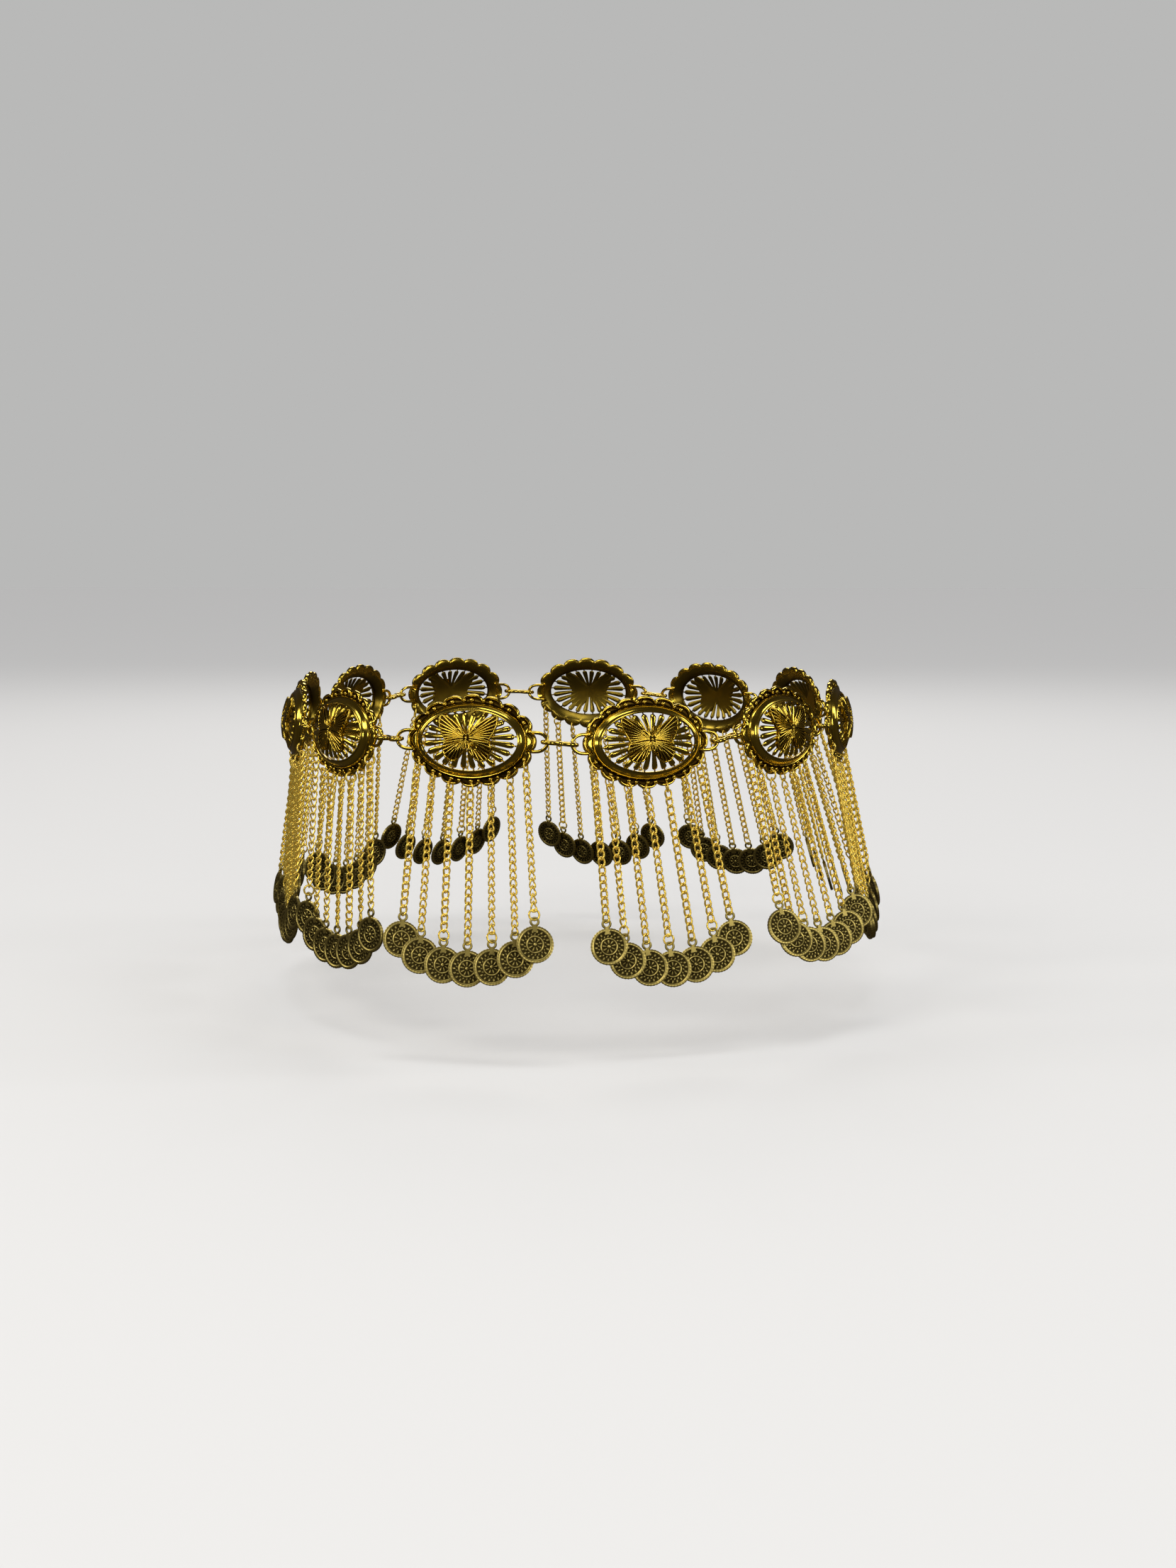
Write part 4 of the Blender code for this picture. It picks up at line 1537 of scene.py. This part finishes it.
@dataclass
class Studio:
    """The plain pale floor, the soft lights and the surroundings that the metal mirrors."""

    floor_drop: float = 100.0 * MM
    floor_size: float = 14.0
    floor_color: Color = (0.58, 0.575, 0.565)
    floor_roughness: float = 0.9
    floor_sheen: float = 0.1
    backdrop: Color = (0.485, 0.485, 0.48)
    pale: Color = (0.88, 0.88, 0.89)
    dim: Color = (0.040, 0.034, 0.028)
    boxes: tuple[Softbox, ...] = (
        Softbox("key", azimuth=52.0, elevation=36.0, distance=1.6, width=0.6, height=0.5, power=4.8,
                color=(1.0, 0.97, 0.92)),
        Softbox("side", azimuth=128.0, elevation=12.0, distance=1.6, width=0.40, height=0.60, power=4.0),
        Softbox("low", azimuth=44.0, elevation=5.0, distance=1.6, width=0.36, height=0.26, power=1.6),
        Softbox("near", azimuth=92.5, elevation=6.0, distance=1.7, width=0.50, height=0.32, power=2.8),
        Softbox("front", azimuth=5.0, elevation=30.0, distance=1.7, width=0.5, height=0.7, power=5.0,
                color=(1.0, 0.97, 0.93)),
        Softbox("rear", azimuth=180.0, elevation=28.0, distance=1.7, width=0.5, height=0.7, power=5.0,
                color=(0.97, 0.98, 1.0)),
        Softbox("top", azimuth=88.0, elevation=76.0, distance=1.4, width=0.7, height=0.35, power=3.2,
                color=(1.0, 1.0, 1.0)),
        Softbox("far", azimuth=268.0, elevation=35.0, distance=1.8, width=0.8, height=0.6, power=6.0,
                color=(1.0, 0.98, 0.96)),
    )

    def build(self) -> None:
        """Lay the floor, hang the lights and set the surroundings."""
        self.floor()
        for box in self.boxes:
            self.light(box)
        self.surroundings()

    def floor(self) -> None:
        """Lay the plain pale floor just below the coins."""
        choose()
        bpy.ops.mesh.primitive_plane_add(size=self.floor_size, location=(0.0, 0.0, -self.floor_drop))
        floor = bpy.context.object
        floor.name = "studio_floor"
        finish = bpy.data.materials.new("pale_floor")
        finish.use_nodes = True
        feed(finish.node_tree.nodes["Principled BSDF"], {
            "Base Color": (*self.floor_color, 1.0), "Roughness": self.floor_roughness,
            "Specular IOR Level": self.floor_sheen})
        floor.data.materials.append(finish)
        floor.visible_glossy = False

    def light(self, box: Softbox) -> None:
        """Hang one soft light, aimed at the chain.

        Args:
            box: the light.
        """
        toward = outward(math.radians(box.azimuth), math.radians(box.elevation))
        bpy.ops.object.light_add(type="AREA", location=toward * box.distance)
        light = bpy.context.object
        light.name = f"softbox_{box.name}"
        light.rotation_euler = toward.to_track_quat("Z", "Y").to_euler()
        light.data.shape = "RECTANGLE"
        light.data.size = box.width
        light.data.size_y = box.height
        light.data.energy = box.power
        light.data.color = box.color
        light.visible_camera = False

    def surroundings(self) -> None:
        """Set a pale surround that lights the floor, and a dim one for what the metal mirrors."""
        world = bpy.data.worlds.new("studio")
        bpy.context.scene.world = world
        world.use_nodes = True
        tree = world.node_tree
        tree.nodes.clear()
        ray = add_node(tree, "ShaderNodeLightPath")
        lit = self.surround(tree, self.pale)
        for side, color in (("Is Glossy Ray", self.dim), ("Is Camera Ray", self.backdrop)):
            inputs = {"Fac": ray.outputs[side], 1: lit, 2: self.surround(tree, color)}
            lit = add_node(tree, "ShaderNodeMixShader", inputs).outputs["Shader"]
        add_node(tree, "ShaderNodeOutputWorld", {"Surface": lit})
        bpy.context.scene.view_settings.view_transform = "Standard"

    @staticmethod
    def surround(tree: bpy.types.NodeTree, color: Color) -> bpy.types.NodeSocket:
        """Return an even surround of one colour."""
        return add_node(tree, "ShaderNodeBackground", {"Color": (*color, 1.0)}).outputs["Background"]


def build_plates(placements: list[Matrix], plate: Plate, dice: random.Random) -> None:
    """Build the plates, and their strands with the coins.

    Args:
        placements: the plates' placements.
        plate: the maker of plates.
        dice: the source of the small differences between strands.
    """
    coin = Coin()
    strands = Strands(plate=plate, coin=coin)
    for maker in (plate, coin, strands):
        maker.build()
    for index, placement in enumerate(placements):
        number = f"{index + 1:02d}"
        cast = placed_copy(plate.template, placement, f"cast_plate_{number}")
        hand_over(cast, "antique_gold", f"plate_{number}")
        wires, coins = strands.hang(index, placement, dice)
        hand_over(joined(f"curb_chains_{number}", wires), "bright_gold", f"fringe_{number}")
        hand_over(joined(f"coins_{number}", coins), "antique_gold", f"fringe_{number}")
    for template in (plate.template, coin.template, strands.link, strands.ring):
        discard(template)


def build_links(placements: list[Matrix], links: WireLinks, dice: random.Random) -> None:
    """Build the wire links between the plates.

    Args:
        placements: the plates' placements.
        links: the maker of wire links.
        dice: the source of the small differences between links.
    """
    for index, (before, after) in enumerate(zip(placements, placements[1:])):
        roll = math.radians(dice.uniform(-links.largest_roll, links.largest_roll))
        links.add(index + 1, links.bar(before, End.RIGHT), links.bar(after, End.LEFT), roll=roll)


def build_clasp(placements: list[Matrix], links: WireLinks) -> None:
    """Build the clasp and the two links that join it to the first and last plates.

    Args:
        placements: the plates' placements.
        links: the maker of wire links.
    """
    clasp = Clasp()
    start = links.bar(placements[-1], End.RIGHT)
    end = links.bar(placements[0], End.LEFT)
    placement = between(start, end, (end - start).normalized())
    hand_over(clasp.hook(placement), "bright_gold", "clasp_hook")
    hand_over(clasp.lever(placement), "bright_gold", "clasp_lever")
    eye_bar, hook_bar = (placement @ Vector((side * clasp.length / 2.0, 0.0, 0.0)) for side in (-1.0, 1.0))
    links.add(len(placements), start, eye_bar)
    links.add(len(placements) + 1, hook_bar, end, start_wire=clasp.wire)


def main() -> None:
    """Build the chain's pieces, the studio and the camera."""
    logging.basicConfig(level=logging.INFO, format="%(message)s")
    dice = random.Random(SEED)
    girdle = Girdle()
    placements = [girdle.placement(index) for index in range(len(HANGS))]
    plate = Plate()
    build_plates(placements, plate, dice)
    links = WireLinks(plate=plate)
    build_links(placements, links, dice)
    build_clasp(placements, links)
    Studio().build()
    PhotoCamera().build()
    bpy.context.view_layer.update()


if __name__ == "__main__":
    main()
